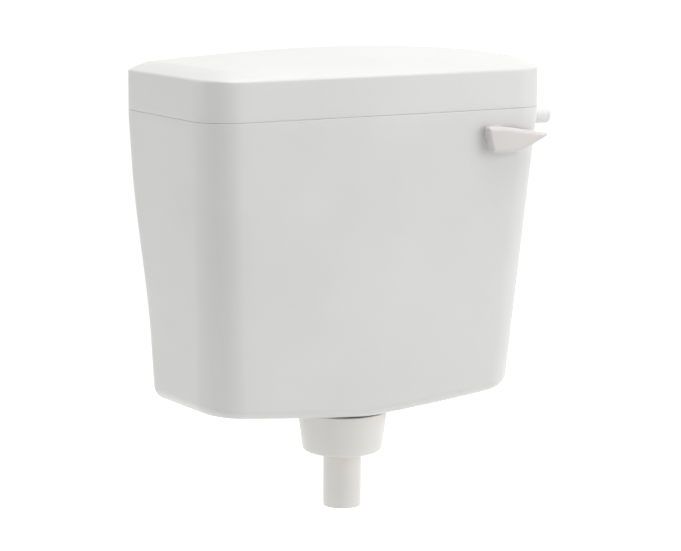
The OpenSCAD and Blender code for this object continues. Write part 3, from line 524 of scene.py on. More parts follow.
def handle_tips():
    """Corners of the handle seen from the front, about the lever axis, as shares of its
    length, height and fall."""
    along = np.array([0, 0.32, 1, 0.51, 0.08, 0.013])
    down = np.array([0, 0, 0, 1, 0.95, 0.41])
    fall = np.array([0, 0.14, 1, 0, 0, 0])
    above_axis = 0.45
    top = above_axis * HANDLE_H
    return np.column_stack([along * HANDLE_LEN - HANDLE_TAIL,
                            top - down * HANDLE_H - fall * HANDLE_FALL])


def handle_outline(inset):
    """Rounded outline of the handle set in by a distance."""
    radii = [max(HANDLE_LEAST_R, r - inset) for r in HANDLE_CORNER_R]
    return rounded(moved_in(handle_tips(), inset), radii, 12)


def handle_shell(lever, face_y, back_y):
    """Shallow cap: rings from the middle of the face over its rounded edge to the back,
    and inside to the middle of the inner face. The face draws back towards the tip
    as the square of the distance from the axis."""
    def face(x):
        return face_y + TIP_SET_BACK * np.clip(x / (HANDLE_LEN - HANDLE_TAIL), 0, 1) ** 2

    def ring(inset, depth, share=1.0):
        x, z = (handle_outline(inset) * share).T
        return np.column_stack([lever[X] + x, face(x) + depth, lever[Z] + z])

    def back_ring(inset, y):
        x, z = handle_outline(inset).T
        return np.column_stack([lever[X] + x, np.full(len(x), y), lever[Z] + z])

    from_face, from_side = np.linspace(math.pi / 2, 0, 11), np.linspace(0, math.pi / 2, 4)
    rings = [ring(HANDLE_EDGE_R, 0, share) for share in np.linspace(0.1, 0.9, 9)]
    rings += [ring(inset, d) for inset, d in edge_arc(HANDLE_EDGE_R, from_face)]
    rings += [back_ring(inset, back_y - d) for inset, d in edge_arc(HANDLE_BACK_R, from_side)]
    rings += [back_ring(HANDLE_WALL, back_y)]
    rings += [ring(HANDLE_WALL + inset, HANDLE_WALL + d)
              for inset, d in edge_arc(HANDLE_INNER_R, np.linspace(0, math.pi / 2, 5))]
    poles = [[lever[X], face_y + t, lever[Z]] for t in (0, HANDLE_WALL)]
    return skin(np.array(rings), poles=np.array(poles))


# Finishes

NOISE_LOW, NOISE_HIGH = 0.3, 0.7


def new_material(name):
    """New material with its nodes, its shader and a texture coordinate to build on."""
    material = bpy.data.materials.new(name)
    material.use_nodes = True
    tree = material.node_tree
    place = tree.nodes.new("ShaderNodeTexCoord").outputs["Object"]
    return material, tree, tree.nodes["Principled BSDF"], place


def set_inputs(tree, node, inputs):
    """Inputs of a node set to values, or linked to the outputs of other nodes."""
    for name, value in inputs.items():
        if isinstance(value, bpy.types.NodeSocket):
            tree.links.new(value, node.inputs[name])
        else:
            node.inputs[name].default_value = value


def add_node(tree, kind, inputs):
    """New node with its inputs set."""
    node = tree.nodes.new("ShaderNode" + kind)
    set_inputs(tree, node, inputs)
    return node


def noise(tree, place, scale, detail=3.0, stretch=None):
    """Noise over the object, optionally drawn out along an axis."""
    if stretch:
        place = add_node(tree, "Mapping", {"Scale": stretch, "Vector": place}).outputs["Vector"]
    texture = add_node(tree, "TexNoise", {"Scale": scale, "Detail": detail, "Vector": place})
    return texture.outputs["Fac"]


def spread(tree, value, low, high):
    """Noise value carried over to a range."""
    ramp = add_node(tree, "MapRange", {"From Min": NOISE_LOW, "From Max": NOISE_HIGH,
                                       "To Min": low, "To Max": high, "Value": value})
    return ramp.outputs["Result"]


def tones(tree, value, dark, light):
    """Noise value carried over to a run of two near colours."""
    ramp = add_node(tree, "ValToRGB", {"Fac": value})
    first, last = ramp.color_ramp.elements
    first.position, last.position = NOISE_LOW, NOISE_HIGH
    first.color, last.color = (*dark, 1), (*light, 1)
    return ramp.outputs["Color"]


def bump(tree, height, strength, distance, under=None):
    """Surface relief from a noise, over an earlier relief if there is one."""
    inputs = {"Strength": strength, "Distance": distance, "Height": height}
    if under:
        inputs["Normal"] = under
    return add_node(tree, "Bump", inputs).outputs["Normal"]


def moulded_plastic(name, dark, light, rough, ripple=0.0001):
    """Moulded plastic: near-even colour, fine grain, a slow ripple of the wall and patchy gloss."""
    cloud_scale, gloss_scale, ripple_scale, grain_scale = 9, 30, 14, 1400
    ripple_strength, grain_strength, grain = 0.5, 0.35, 0.00003
    material, tree, shader, place = new_material(name)
    waves = bump(tree, noise(tree, place, ripple_scale, detail=1), ripple_strength, ripple)
    specks = noise(tree, place, grain_scale, detail=2)
    set_inputs(tree, shader, {
        "Base Color": tones(tree, noise(tree, place, cloud_scale), dark, light),
        "Roughness": spread(tree, noise(tree, place, gloss_scale, detail=4), *rough),
        "IOR": 1.49,
        "Normal": bump(tree, specks, grain_strength, grain, waves),
    })
    return material


def soft_rubber(name, dark, light, rough):
    """Black rubber with a dusty bloom and a fine moulded grain."""
    bloom_scale, grain_scale, grain_strength, grain = 120, 1800, 0.4, 0.00004
    material, tree, shader, place = new_material(name)
    bloom = noise(tree, place, bloom_scale, detail=5)
    specks = noise(tree, place, grain_scale, detail=2)
    set_inputs(tree, shader, {
        "Base Color": tones(tree, bloom, dark, light),
        "Roughness": spread(tree, bloom, *rough),
        "Normal": bump(tree, specks, grain_strength, grain),
    })
    return material


def drawn_metal(name, dark, light, rough, stretch):
    """Bright metal with fine lines drawn along one axis."""
    line_scale, line_strength, line_depth = 600, 0.15, 0.00002
    material, tree, shader, place = new_material(name)
    lines = noise(tree, place, line_scale, detail=4, stretch=stretch)
    set_inputs(tree, shader, {
        "Base Color": tones(tree, lines, dark, light),
        "Roughness": spread(tree, lines, *rough),
        "Metallic": 1.0,
        "Normal": bump(tree, lines, line_strength, line_depth),
    })
    return material


# Each finish has its darker and lighter colour and its range of roughness
FINISH = {
    "white_plastic": moulded_plastic(
        "white_moulded_plastic", (0.75, 0.753, 0.735), (0.78, 0.783, 0.765), (0.30, 0.38), 0.00025),
    "handle_plastic": moulded_plastic(
        "handle_plastic", (0.71, 0.68, 0.665), (0.735, 0.705, 0.69), (0.34, 0.42)),
    "pipe_plastic": moulded_plastic(
        "pipe_plastic", (0.83, 0.81, 0.77), (0.86, 0.84, 0.80), (0.28, 0.36)),
    "natural_plastic": moulded_plastic(
        "natural_plastic", (0.70, 0.70, 0.67), (0.76, 0.76, 0.73), (0.40, 0.52)),
    "grey_plastic": moulded_plastic(
        "grey_plastic", (0.36, 0.37, 0.37), (0.42, 0.43, 0.43), (0.42, 0.55)),
    "float_plastic": moulded_plastic(
        "float_plastic", (0.58, 0.16, 0.03), (0.66, 0.20, 0.04), (0.36, 0.48)),
    "rubber": soft_rubber(
        "black_rubber", (0.018, 0.018, 0.019), (0.05, 0.05, 0.05), (0.6, 0.8)),
    "steel": drawn_metal(
        "drawn_steel", (0.50, 0.50, 0.50), (0.66, 0.66, 0.65), (0.22, 0.36), (1, 1, 0.05)),
    "brass": drawn_metal(
        "turned_brass", (0.58, 0.42, 0.16), (0.72, 0.55, 0.24), (0.2, 0.34), (0.05, 1, 1)),
}
# Painted light: a lighter copy of the natural plastic, used on the threaded tail of the float valve
# to stand in for light shining through the plastic
TAIL_PAINTED_LIGHT = moulded_plastic(
    "tail_plastic_painted_light", (0.88, 0.88, 0.875), (0.91, 0.91, 0.905), (0.34, 0.44))

# Every solid that stays gets the finish of its slot
for part in frame["record"]["subparts"]:
    solid = frame["nodes"][part["node"]]
    solid.data.materials.clear()
    solid.data.materials.append(FINISH[part["material_slot"]])


# Pieces

def make_tank():
    """Shell of the tank, with raised pads round its holes."""
    tank = piece("tank_shell", "tank", "white_plastic", [tank_shell()], ["tank"])
    outlet, _, _ = on_axis("siphon_seal", Z)
    lever, bush_face, _ = on_axis("lever_bush", Y)
    inlet, _, _ = on_axis("inlet_back_nut", X)
    bush_low, bush_high = box("lever_bush")
    bush_flange_r = (bush_high[X] - bush_low[X]) / 2
    side_in, side_out = box("inlet_inner_washer")[1][X], box("inlet_outer_washer")[0][X]
    front_out, front_in = bush_face + BUSH_FLANGE_T, box("bush_washer")[0][Y]
    floor_top = LOW_Z + WALL + max(PAD_PROUD, base_lift(OUTLET_PAD_R) + FREE_GAP)
    pads = [
        cylinder_between(LOW_Z - PAD_PROUD, floor_top, outlet, UP, OUTLET_PAD_R),
        cylinder_between(side_in, side_out, inlet, RIGHT, SHANK_R + INLET_PAD_W),
        cylinder_between(front_out, front_in, lever, TO_WALL, bush_flange_r + BUSH_PAD_W),
    ]
    holes = [
        cylinder_between(LOW_Z - PAST, LOW_Z + 2 * PAST, outlet, UP, TAIL_R + HOLE_GAP),
        cylinder_between(side_in - PAST, side_out + PAST, inlet, RIGHT, SHANK_R + HOLE_GAP),
        cylinder_between(front_out - PAST, front_in + PAST, lever, TO_WALL, SLEEVE_R + HOLE_GAP),
    ]
    for side in (-1, 1):
        fixing = (side * FIXING_SPAN / 2, 0, 0)
        pads.append(cylinder_between(-WALL - PAD_PROUD, -WALL / 2, fixing, TO_WALL, FIXING_PAD_R))
        holes.append(cylinder_between(-2 * PAST, PAST, fixing, TO_WALL, FIXING_HOLE_R))
    combine(tank, "UNION", *pads)
    combine(tank, "DIFFERENCE", *holes)


def make_handle():
    """Handle with a hub behind its face, bored for the spindle and its screw."""
    lever, bush_face, _ = on_axis("lever_bush", Y)
    back = bush_face - FREE_GAP
    face = back - HANDLE_DEPTH
    shell = handle_shell(lever, face, back)
    handle = piece("flush_handle", "lever", "handle_plastic", [shell], ["lever_handle"])
    hub = cylinder_between(face + HANDLE_WALL / 2, back, lever, TO_WALL, HANDLE_HUB_R)
    spindle_end = box("lever_spindle")[0][Y]
    bore = cylinder_between(spindle_end, back + MM, lever, TO_WALL, SPINDLE_R + FIT)
    screw = (lever[X], middle(*box("handle_screw"))[Y], lever[Z])
    screw_hole = cylinder_between(-HANDLE_H, 0, screw, UP, SCREW_R + FIT)
    combine(handle, "UNION", hub)
    combine(handle, "DIFFERENCE", bore)
    combine(handle, "DIFFERENCE", screw_hole)


def make_outlet():
    """Shroud with its inner ribs, and flush pipe, below the tank."""
    centre, end, top = on_axis("outlet_shroud", Z)
    foot_r, top_r, hole_r, edge_r, wall = np.array([41.5, 47, 20.4, 5.5, 2.5]) * MM
    profile = [(hole_r, end), (foot_r, end), (top_r, top), (top_r - wall, top),
               (foot_r - wall, end + wall), (hole_r, end + wall)]
    radii = [0.8 * MM, edge_r, 0.9 * MM, 0.6 * MM, edge_r - wall, 0.8 * MM]
    parts = [turned(profile, radii, centre, UP, 2 * TURN, bend=10)]
    rib_in, rib_out, rib_half = 38.4 * MM, foot_r - wall / 2, MM
    rib_low, rib_high = end + 11.5 * MM, top - 2 * MM
    corners = ((rib_in, -rib_half), (rib_out, -rib_half), (rib_out, rib_half), (rib_in, rib_half))
    for turn in np.radians([30, 120, 210, 300]):
        outward = np.array([math.cos(turn), math.sin(turn)])
        aside = np.array([-math.sin(turn), math.cos(turn)])
        tips = [centre[:2] + outward * r + aside * off for r, off in corners]
        parts.append(slab(tips, [FINE] * 4, rib_low, rib_high, Z, FINE))
    piece("outlet_shroud_shell", "tank", "pipe_plastic", parts, ["outlet_shroud"])

    centre, low, high = on_axis("flush_pipe", Z)
    pipe_r, spigot_r, bore = np.array([20, 19.7, 17.6]) * MM
    profile = [(bore, low), (pipe_r, low), (pipe_r, end),
               (spigot_r, end), (spigot_r, high), (bore, high)]
    radii = np.array([0.3, 0.6, 0.1, 0.1, 0.8, 0.3]) * MM
    pipe = turned(profile, radii, centre, UP, 2 * TURN)
    piece("flush_pipe_head", "tank", "pipe_plastic", [pipe], ["flush_pipe"])


def make_outlet_nuts():
    """Back nut of the siphon and nut of the flush pipe, each a ring with lugs to turn it by."""
    bore, lug_reach = TAIL_R + FIT, 2 * MM
    centre, low, high = on_axis("siphon_back_nut", Z)
    nut_r, flat_r, lug_count, lug_w = 36 * MM, 35 * MM, 6, 6 * MM
    outline_r = lugs(nut_r, lug_reach, lug_count, lug_w, math.radians(-75))
    ring = polar(nut(outline_r, flat_r, bore, low, high), centre, UP, 4 * TURN)
    piece("siphon_nut", "tank", "grey_plastic", [ring], ["siphon_back_nut"])

    centre, low, high = on_axis("pipe_nut", Z)
    lip, throat = low + 4 * MM, FLUSH_SOCKET_R
    nut_r, flat_r, lug_count, lug_w = 31 * MM, 30 * MM, 8, 4 * MM
    outline_r = lugs(nut_r, lug_reach, lug_count, lug_w, math.radians(-90))
    stations = [(throat, lip), (throat, low + FINE), (throat + FINE, low)]
    stations += nut(outline_r, flat_r, bore, low, high)[2:]
    stations += [(bore, lip)]
    ring = polar(stations, centre, UP, 4 * TURN)
    piece("pipe_coupling_nut", "tank", "grey_plastic", [ring], ["pipe_nut"])


def make_siphon():
    """Siphon: down leg with its flange, chamber with its up leg and deck,
    and the cover that joins them."""
    leg_centre, tail_end, weir = on_axis("siphon_leg", Z)
    rod_centre, _, _ = on_axis("plunger_rod", Z)
    down_r, flange_r, chamber_r, up_r, cover_r = np.array([23, 36, 42, 24, 27]) * MM
    wall, cover_wall, flange_t, deck_t, web_t = np.array([3, 3.5, 5, 4, 3]) * MM
    pipe_depth, chamber_h, cone_h, socket_h = np.array([15, 74.15, 30, 18]) * MM
    flange_under = box("siphon_seal")[1][Z] + FIT
    flange_top = flange_under + flange_t
    tube_in, socket_top = down_r - wall, tail_end + pipe_depth + FIT
    profile = [(FLUSH_SOCKET_R, tail_end), (TAIL_R, tail_end), (TAIL_R, flange_under),
               (flange_r, flange_under), (flange_r, flange_top), (down_r, flange_top),
               (down_r, weir), (tube_in, weir), (tube_in, socket_top),
               (FLUSH_SOCKET_R, socket_top)]
    radii = np.array([0.3, 0.6, 0.3, 0.8, 0.8, 2, 0.3, 0.3, 0.03, 0.03]) * MM
    leg = turned(profile, radii, leg_centre, UP)
    piece("down_leg", "tank", "natural_plastic", [leg], ["siphon_leg"])

    mouth = box("siphon_body")[0][Z]
    chamber_top = mouth + chamber_h
    cone_top = chamber_top + cone_h

    def chamber(inset, past, mouth_edge):
        """Round shape of chamber, cone and up leg, set in and run past its two ends."""
        chamber_side, up_side = chamber_r - inset, up_r - inset
        low, high = mouth - past, weir + past
        tips = [(0, low), (chamber_side, low), (chamber_side, chamber_top),
                (up_side, cone_top), (up_side, high), (0, high)]
        bend = rounded(tips, [MM, mouth_edge, 8 * MM, 12 * MM, 0.4 * MM, MM], 10)
        near_axis = 2 * MM
        bend = bend[bend[:, 0] > near_axis]
        stations = [(0, bend[0, 1]), *bend, (0, bend[-1, 1])]
        return polar(stations, rod_centre, UP, 2 * TURN)

    def oblong(r, low, high, edge):
        """Slab with round ends about the two legs."""
        nearly_r = r - 0.01 * MM
        tips = rectangle(rod_centre[:2] - r, leg_centre[:2] + r)
        return slab(tips, [nearly_r] * 4, low, high, Z, edge, 24)

    deck = oblong(cover_r, weir - deck_t, weir, 0.4 * MM)
    web_foot, web_top = chamber_top + 20 * MM, weir - deck_t / 2
    web_tips = rectangle((rod_centre[X], web_foot), (leg_centre[X], web_top))
    web = slab(web_tips, [0.2 * MM] * 4, leg_centre[Y] - web_t / 2, leg_centre[Y] + web_t / 2,
               Y, 0.2 * MM)
    socket_in, socket_foot = down_r - MM, weir - socket_h
    socket_tips = [(socket_in, socket_foot), (cover_r, socket_foot),
                   (cover_r, weir), (socket_in, weir)]
    socket = turned(socket_tips, [0.1 * MM, MM, 0.2 * MM, 0.1 * MM], leg_centre, UP)
    leg_bore = cylinder_between(flange_under, weir + MM, leg_centre, UP, down_r + FIT)
    body = piece("chamber_and_up_leg", "tank", "natural_plastic",
                 [chamber(0, 0, 0.8 * MM)], ["siphon_body"])
    for part in (deck, web, socket):
        combine(body, "UNION", part)
    for part in (chamber(wall, MM, FINE), leg_bore):
        combine(body, "DIFFERENCE", part)

    _, cover_foot, cover_top = on_axis("siphon_cover", Z)
    cap = oblong(cover_r, cover_foot, cover_top, 2.5 * MM)
    room = oblong(cover_r - cover_wall, cover_foot - 4 * MM, cover_top - cover_wall, 1.5 * MM)
    guide_r, far_up = 5 * MM, 10 * PAST
    guide_hole = cylinder_between(weir, weir + far_up, rod_centre, UP, guide_r + FIT)
    cover = piece("siphon_top_cover", "tank", "natural_plastic", [cap], ["siphon_cover"])
    combine(cover, "DIFFERENCE", room)
    combine(cover, "DIFFERENCE", guide_hole)


def make_inlet():
    """Float valve in the side wall: body with its flange, spout and hinge ears,
    threaded tail, back nut, end cap and silencer."""
    centre, left, end = on_axis("inlet_valve", X)
    nut_low, nut_high = box("inlet_back_nut")
    centre[Z] = middle(nut_low, nut_high)[Z]
    thread_r, body_r, flange_r, bore, waterway = np.array([10.48, 11, 13.5, 7.05, 6]) * MM
    flange_t = 3.5 * MM
    root = box("inlet_inner_washer")[0][X] - flange_t - FIT
    flange_end = root + flange_t
    step = nut_high[X] + MM
    nozzle_end = box("valve_nozzle")[1][X] + FIT
    profile = [(bore, left), (body_r, left), (body_r, root), (flange_r, root),
               (flange_r, flange_end), (SHANK_R, flange_end), (SHANK_R, step),
               (waterway, step), (waterway, nozzle_end), (bore, nozzle_end)]
    radii = np.array([0.3, 0.6, 0.8, 0.6, 0.3, 0.2, 0.6, 0.1, 0.1, 0.1]) * MM
    valve = turned(profile, radii, centre, RIGHT)
    body = piece("float_valve_body", "tank", "natural_plastic", [valve], ["inlet_valve"])

    pin = middle(*box("float_hinge_pin"))
    ear_gap, ear_t, ear_half, pin_hole_r = np.array([4.6, 3, 5, 1.62]) * MM
    ear_top = centre[Z] - 4 * MM
    ear_tips = rectangle((pin[X] - ear_half, pin[Z] - ear_half), (pin[X] + ear_half, ear_top))
    ear_radii = np.array([4.9, 4.9, 0.3, 0.3]) * MM
    for side in (-1, 1):
        near, far = sorted(centre[Y] + side * off for off in (ear_gap, ear_gap + ear_t))
        combine(body, "UNION", slab(ear_tips, ear_radii, near, far, Y, 0.4 * MM, 12))
    spout, tube_low, tube_high = on_axis("silencer_tube", Z)
    spout_r, spout_bore, spout_drop, tube_r = np.array([5.5, 3.5, 8, 7.02]) * MM
    spout_top, spout_end = centre[Z] - bore - MM, centre[Z] - body_r - spout_drop
    combine(body, "UNION", cylinder_between(spout_end, spout_top, spout, UP, spout_r))
    travel = 8.12 * MM
    slot_mid, slot_half = pin[X] - travel / 2, 4 * MM + 0.3 * travel
    slot_foot = pin[Z] - 8 * MM
    slot_tips = rectangle((slot_mid - slot_half, slot_foot),
                          (slot_mid + travel + slot_half, centre[Z]))
    slot = slab(slot_tips, [FINE] * 4, centre[Y] - ear_gap, centre[Y] + ear_gap, Y, 0.1 * MM)
    outflow = cylinder_between(spout_end - MM, centre[Z], spout, UP, spout_bore)
    pin_hole = cylinder_between(centre[Y] - PAST, centre[Y] + PAST, pin * [1, 0, 1], TO_WALL,
                                pin_hole_r)
    for part in (slot, outflow, pin_hole):
        combine(body, "DIFFERENCE", part)

    depth, pitch, lead = 0.5 * MM, 1.814 * MM, 0.4 * MM
    thread_start, thread_end = step - 0.2 * MM, end - 0.7 * MM
    stations = [(waterway, thread_start)]
    stations += thread(thread_r, depth, pitch, thread_start, thread_end)
    stations += [(thread_r - 0.6 * MM, end), (waterway + lead, end), (waterway, end - lead)]
    tail = polar(stations, centre, RIGHT)
    # The tail is drawn in the lighter copy of the valve's plastic: painted light standing in for
    # light shining through it
    piece("threaded_tail", "tank", "natural_plastic", [tail], ["inlet_valve"], TAIL_PAINTED_LIGHT)

    across = nut_high[Z] - nut_low[Z]
    ring = hexagon_nut(across, WIDE_FLAT, SHANK_R + FIT, (nut_low[X], nut_high[X]), centre, RIGHT)
    piece("inlet_nut", "tank", "natural_plastic", [ring], ["inlet_back_nut"])

    _, cap_low, cap_high = on_axis("valve_end_cap", X)
    cap_r, plug_r, cap_face = 10.5 * MM, 7.03 * MM, left - FIT
    grip_count, grip_depth = 24, 0.35 * MM
    grip = cap_r - grip_depth * (0.5 + 0.5 * np.cos(grip_count * turn_angles())) ** 2
    stations = [(0, cap_low), (cap_r - 1.2 * MM, cap_low), (cap_r - 0.6 * MM, cap_low + 0.25 * MM),
                (grip, cap_low + 0.9 * MM), (grip, left - 0.8 * MM), (cap_r - 0.5 * MM, cap_face),
                (plug_r, cap_face), (plug_r, cap_high), (0, cap_high)]
    cap = polar(stations, centre, RIGHT)
    piece("valve_cap", "tank", "natural_plastic", [cap], ["valve_end_cap"])

    tube = plain_ring(spout_r + FIT, tube_r, (tube_low, tube_high), (FINE, 0.5 * MM), spout, UP)
    piece("silencer", "tank", "natural_plastic", [tube], ["silencer_tube"])


def make_lever_group():
    """Bush and nut in the front wall, and the lift arm on the spindle behind them."""
    lever, face, end = on_axis("lever_bush", Y)
    flange_r, bore = 12 * MM, SPINDLE_R + 0.05 * MM
    seat = face + BUSH_FLANGE_T - FIT
    stations = [(bore, face + FINE), (bore + FINE, face), (flange_r - 0.5 * MM, face),
                (flange_r - 0.15 * MM, face + 0.15 * MM), (flange_r, face + 0.5 * MM),
                (flange_r, seat), (SLEEVE_R, seat)]
    depth, pitch = 0.5 * MM, 1.5 * MM
    thread_start, thread_end = seat + 7 * MM, end - 0.4 * MM
    stations += thread(SLEEVE_R, depth, pitch, thread_start, thread_end)
    stations += [(SLEEVE_R - 0.6 * MM, end), (bore + FINE, end), (bore, end - FINE)]
    bush = polar(stations, lever, TO_WALL)
    piece("spindle_bush", "tank", "handle_plastic", [bush], ["lever_bush"])

    nut_low, nut_high = box("bush_nut")
    across = nut_high[Z] - nut_low[Z]
    ring = hexagon_nut(across, WIDE_FLAT, SLEEVE_R + FIT, (nut_low[Y], nut_high[Y]), lever, TO_WALL)
    piece("bush_back_nut", "tank", "grey_plastic", [ring], ["bush_nut"])

    arm_low, arm_high = box("lift_arm")
    hub_w, hub_r, arm_t, arm_h, pin_r = np.array([10, 9, 4, 8, 3]) * MM
    hub_start, pin_end = arm_low[Y], arm_high[Y]
    arm_y = hub_start + hub_w / 2
    hub = plain_ring(SPINDLE_R + FIT, hub_r, (hub_start, hub_start + hub_w), (FINE, 0.8 * MM),
                     lever, TO_WALL)
    bar_end = lever[X] - 7 * MM
    bar_tips = rectangle((arm_low[X], lever[Z] - arm_h / 2), (bar_end, lever[Z] + arm_h / 2))
    bar_radii = np.array([3.9, 0.3, 0.3, 3.9]) * MM
    bar = slab(bar_tips, bar_radii, arm_y - arm_t / 2, arm_y + arm_t / 2, Y, 0.9 * MM, 10)
    stations = [(0, arm_y), (pin_r, arm_y), (pin_r, pin_end - 0.8 * MM),
                (pin_r - 0.25 * MM, pin_end - 0.25 * MM), (pin_r - 0.8 * MM, pin_end), (0, pin_end)]
    pin = polar(stations, (arm_low[X] + arm_h / 2, 0, lever[Z]), TO_WALL)
    screw_hole = cylinder_between(lever[Z], lever[Z] + 2 * PAST, (lever[X], arm_y, 0), UP,
                                  SCREW_R + FIT)
    arm = piece("lifting_arm", "lever", "natural_plastic", [hub], ["lift_arm"])
    combine(arm, "UNION", bar)
    combine(arm, "UNION", pin)
    combine(arm, "DIFFERENCE", screw_hole)


def make_plunger():
    """Loop on top of the plunger rod, the holed plate at its foot and the two nuts that hold it."""
    low, high = box("lift_link")
    foot = low[Z]
    rod, _, _ = on_axis("plunger_rod", Z)
    rim, slot_h, link_t, stem_r = np.array([4, 7.2, 5, 5]) * MM
    slot_high = high[Z] - rim
    slot_low = slot_high - slot_h
    loop_tips = rectangle((low[X], slot_low - rim), (high[X], high[Z]))
    loop = slab(loop_tips, [2.5 * MM] * 4, rod[Y] - link_t / 2, rod[Y] + link_t / 2, Y, 0.8 * MM, 8)
    stem_top, stem_edge = slot_low - MM, 0.8 * MM
    stem = polar([(0, foot), (stem_r - stem_edge, foot), (stem_r, foot + stem_edge),
                  (stem_r, stem_top), (0, stem_top)], rod, UP)
    slot_tips = rectangle((low[X] + rim, slot_low), (high[X] - rim, slot_high))
    slot = slab(slot_tips, [MM] * 4, rod[Y] - PAST, rod[Y] + PAST, Y, 0.1 * MM)
    bore = ROD_R + FIT
    rod_hole = cylinder_between(foot - MM, slot_low - 2 * MM, rod, UP, bore)
    link = piece("rod_loop", "plunger", "natural_plastic", [loop], ["lift_link"])
    combine(link, "UNION", stem)
    combine(link, "DIFFERENCE", slot)
    combine(link, "DIFFERENCE", rod_hole)

    centre, low, high = on_axis("plunger_plate", Z)
    plate_r = 38.6 * MM
    hole_at, hole_r = 0.6 * plate_r, 0.22 * plate_r
    ring = plain_ring(bore, plate_r, (low, high), (0.2 * MM, 0.8 * MM), centre, UP, 2 * TURN)
    plate = piece("holed_plate", "plunger", "grey_plastic", [ring], ["plunger_plate"])
    for turn in np.radians(np.arange(0, 360, 60)):
        place = centre + hole_at * np.array([math.cos(turn), math.sin(turn), 0])
        combine(plate, "DIFFERENCE", cylinder_between(low - MM, high + MM, place, UP, hole_r))

    across = 10 * MM * math.cos(math.pi / 6)
    for node, name in (("plunger_nut", "upper_rod_nut"), ("plate_nut", "lower_rod_nut")):
        centre, low, high = on_axis(node, Z)
        ring = hexagon_nut(across, NARROW_FLAT, bore, (low, high), centre, UP, math.pi / 6)
        piece(name, "plunger", "steel", [ring], [node])


def make_float():
    """Ball with a moulded seam round it, its arm with hub and heel, and the lock nut."""
    pin = middle(*box("float_hinge_pin"))
    pin[Y] = middle(*box("float_arm"))[Y]
    fall, swing = math.radians(60), math.radians(35)
    along = np.array([-math.cos(fall), 0, -math.sin(fall)])
    reach, ball_r, neck_r, rod_r = np.array([92, 36, 7, 3]) * MM
    ball_start = reach - ball_r
    neck_end, bore_end = ball_start - 4 * MM, ball_start + 8 * MM
    seam_h, seam_w, neck_blend, neck_edge = 0.7 * MM, 0.022, 0.06, 0.6 * MM
    turn = np.linspace(0, math.pi - math.asin(neck_r / ball_r) - neck_blend, 110)[1:]
    skin_r = ball_r + seam_h * np.exp(-((turn - math.pi / 2) / seam_w) ** 2)
    stations = [(0, reach + ball_r), *zip(skin_r * np.sin(turn), reach + skin_r * np.cos(turn))]
    stations += [(neck_r, ball_start - MM), (neck_r, neck_end + neck_edge),
                 (neck_r - neck_edge, neck_end), (rod_r + FIT, neck_end),
                 (rod_r + FIT, bore_end), (0, bore_end)]
    ball = polar(stations, pin, along, 2 * TURN)
    piece("ball_float", "float", "float_plastic", [ball], ["float_ball"])

    hub_r, hub_half, hub_bore, heel_half = np.array([4.2, 4.2, 1.65, 2.5]) * MM
    hub = plain_ring(hub_bore, hub_r, (pin[Y] - hub_half, pin[Y] + hub_half), (0.2 * MM, 0.5 * MM),
                     pin * [1, 0, 1], TO_WALL)
    rod_start, rod_end = 3.2 * MM, bore_end - FIT
    depth, pitch, thread_start = 0.4 * MM, MM, ball_start - 16 * MM
    stations = [(0, rod_start), (rod_r, rod_start)]
    stations += thread(rod_r, depth, pitch, thread_start, bore_end - FINE)
    stations += [(rod_r - 0.5 * MM, rod_end), (0, rod_end)]
    lean = swing / 2
    rise = np.array([-math.sin(lean), math.cos(lean)])
    aside = np.array([math.cos(lean), math.sin(lean)])
    corners = ((-2, 3), (2, 3), (2, 13.5), (-2, 13.5))
    heel_tips = [pin[[X, Z]] + aside * w * MM + rise * h * MM for w, h in corners]
    heel_radii = np.array([0.3, 0.3, 1.2, 1.2]) * MM
    heel = slab(heel_tips, heel_radii, pin[Y] - heel_half, pin[Y] + heel_half, Y, 0.4 * MM)
    arm = piece("ball_arm", "float", "natural_plastic", [hub], ["float_arm"])
    combine(arm, "UNION", polar(stations, pin, along))
    combine(arm, "UNION", heel)

    nut_end, nut_h = neck_end - FIT, 5 * MM
    across = 14 * MM * math.cos(math.pi / 6)
    ring = hexagon_nut(across, NARROW_FLAT, rod_r + FIT, (nut_end - nut_h, nut_end), pin, along,
                       math.pi / 6)
    piece("arm_lock_nut", "float", "natural_plastic", [ring], ["float_lock_nut"])


make_tank()
piece("lid_shell", "lid", "white_plastic", [lid_shell()], ["lid"])
make_handle()
make_outlet()
make_outlet_nuts()
make_siphon()
make_inlet()
make_lever_group()
make_plunger()
make_float()


# Floor, light and camera

FLOOR_DROP, FLOOR_HALF, FLOOR_GLOW = 0.25, 12, 0.72
FLOOR_Z = cad_low[Z] - FLOOR_DROP
WORLD_LIGHT, WORLD_SEEN = 0.42, 1.0
PURE_WHITE = (1, 1, 1, 1)
CISTERN_MIDDLE = (0, -0.09, -0.12)


def make_floor():
    """Wide pale floor that keeps the shadow and reads as white to the camera."""
    corners = rectangle((-FLOOR_HALF, -FLOOR_HALF), (FLOOR_HALF, FLOOR_HALF))
    mesh = bpy.data.meshes.new("floor")
    mesh.from_pydata([(x, y, FLOOR_Z) for x, y in corners], [], [(0, 1, 2, 3)])
    floor = placed("floor", mesh)
    material, tree, shader, place = new_material("pale_floor")
    cloud = noise(tree, place, 2)
    set_inputs(tree, shader, {
        "Base Color": tones(tree, cloud, (0.86, 0.86, 0.86), (0.88, 0.88, 0.88)),
        "Roughness": 0.9,
        "Specular IOR Level": 0.0,
        "Emission Color": PURE_WHITE,
        "Emission Strength": seen_directly(tree, 0.0, FLOOR_GLOW),
    })
    mesh.materials.append(material)


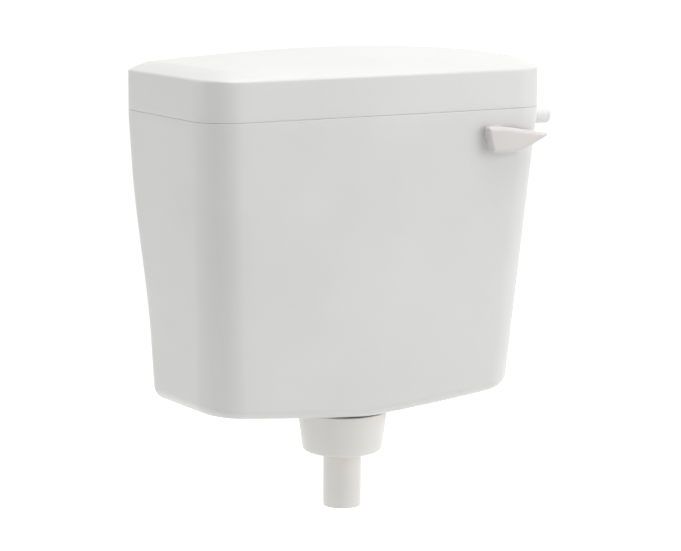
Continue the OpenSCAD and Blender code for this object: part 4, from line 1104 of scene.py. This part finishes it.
def seen_directly(tree, unseen, seen):
    """One strength for rays from the camera and for reflections, another for light."""
    rays = tree.nodes.new("ShaderNodeLightPath").outputs
    either = add_node(tree, "Math", {0: rays["Is Camera Ray"], 1: rays["Is Glossy Ray"]})
    either.operation = "MAXIMUM"
    strengths = {"To Min": unseen, "To Max": seen, "Value": either.outputs["Value"]}
    return add_node(tree, "MapRange", strengths).outputs["Result"]


def make_world():
    """White surroundings, dimmer as a light than they look."""
    world = bpy.data.worlds.new("studio")
    bpy.context.scene.world = world
    world.use_nodes = True
    tree = world.node_tree
    strength = seen_directly(tree, WORLD_LIGHT, WORLD_SEEN)
    set_inputs(tree, tree.nodes["Background"], {"Color": PURE_WHITE, "Strength": strength})


def aim(made, place, towards):
    """Places a lamp or camera and turns it towards a point."""
    made.location = place
    made.rotation_mode = "QUATERNION"
    made.rotation_quaternion = (Vector(towards) - Vector(place)).to_track_quat("-Z", "Y")


def soft_lamp(name, place, size, power):
    """Square soft lamp at a place, turned towards the middle of the cistern."""
    data = bpy.data.lights.new(name, "AREA")
    data.shape = "SQUARE"
    data.size = size
    data.energy = power
    aim(placed(name, data), place, CISTERN_MIDDLE)


def make_camera():
    """Camera of the photograph: its place, the point it looks at, its roll
    and its focal length in pixels of the photograph."""
    image_w, focal_px, sensor = 681, 2548.62, 36.0
    roll = math.radians(0.235)
    data = bpy.data.cameras.new("camera")
    data.sensor_fit = "HORIZONTAL"
    data.sensor_width = sensor
    data.lens = focal_px * sensor / image_w
    data.clip_end = 60
    camera = placed("camera", data)
    aim(camera, (-1.26694, -2.36770, 0.30325), (-0.00059, -0.09500, -0.13979))
    camera.rotation_quaternion = camera.rotation_quaternion @ Quaternion(UP, roll)
    bpy.context.scene.camera = camera


make_floor()
make_world()
soft_lamp("top_light", (0.3, -0.5, 2.2), 1.8, 37)
soft_lamp("left_light", (-2.4, 0.7, 0.7), 1.6, 12)
soft_lamp("right_light", (1.9, -1.8, 0.6), 1.6, 21)
make_camera()
bpy.context.scene.view_settings.view_transform = "Standard"
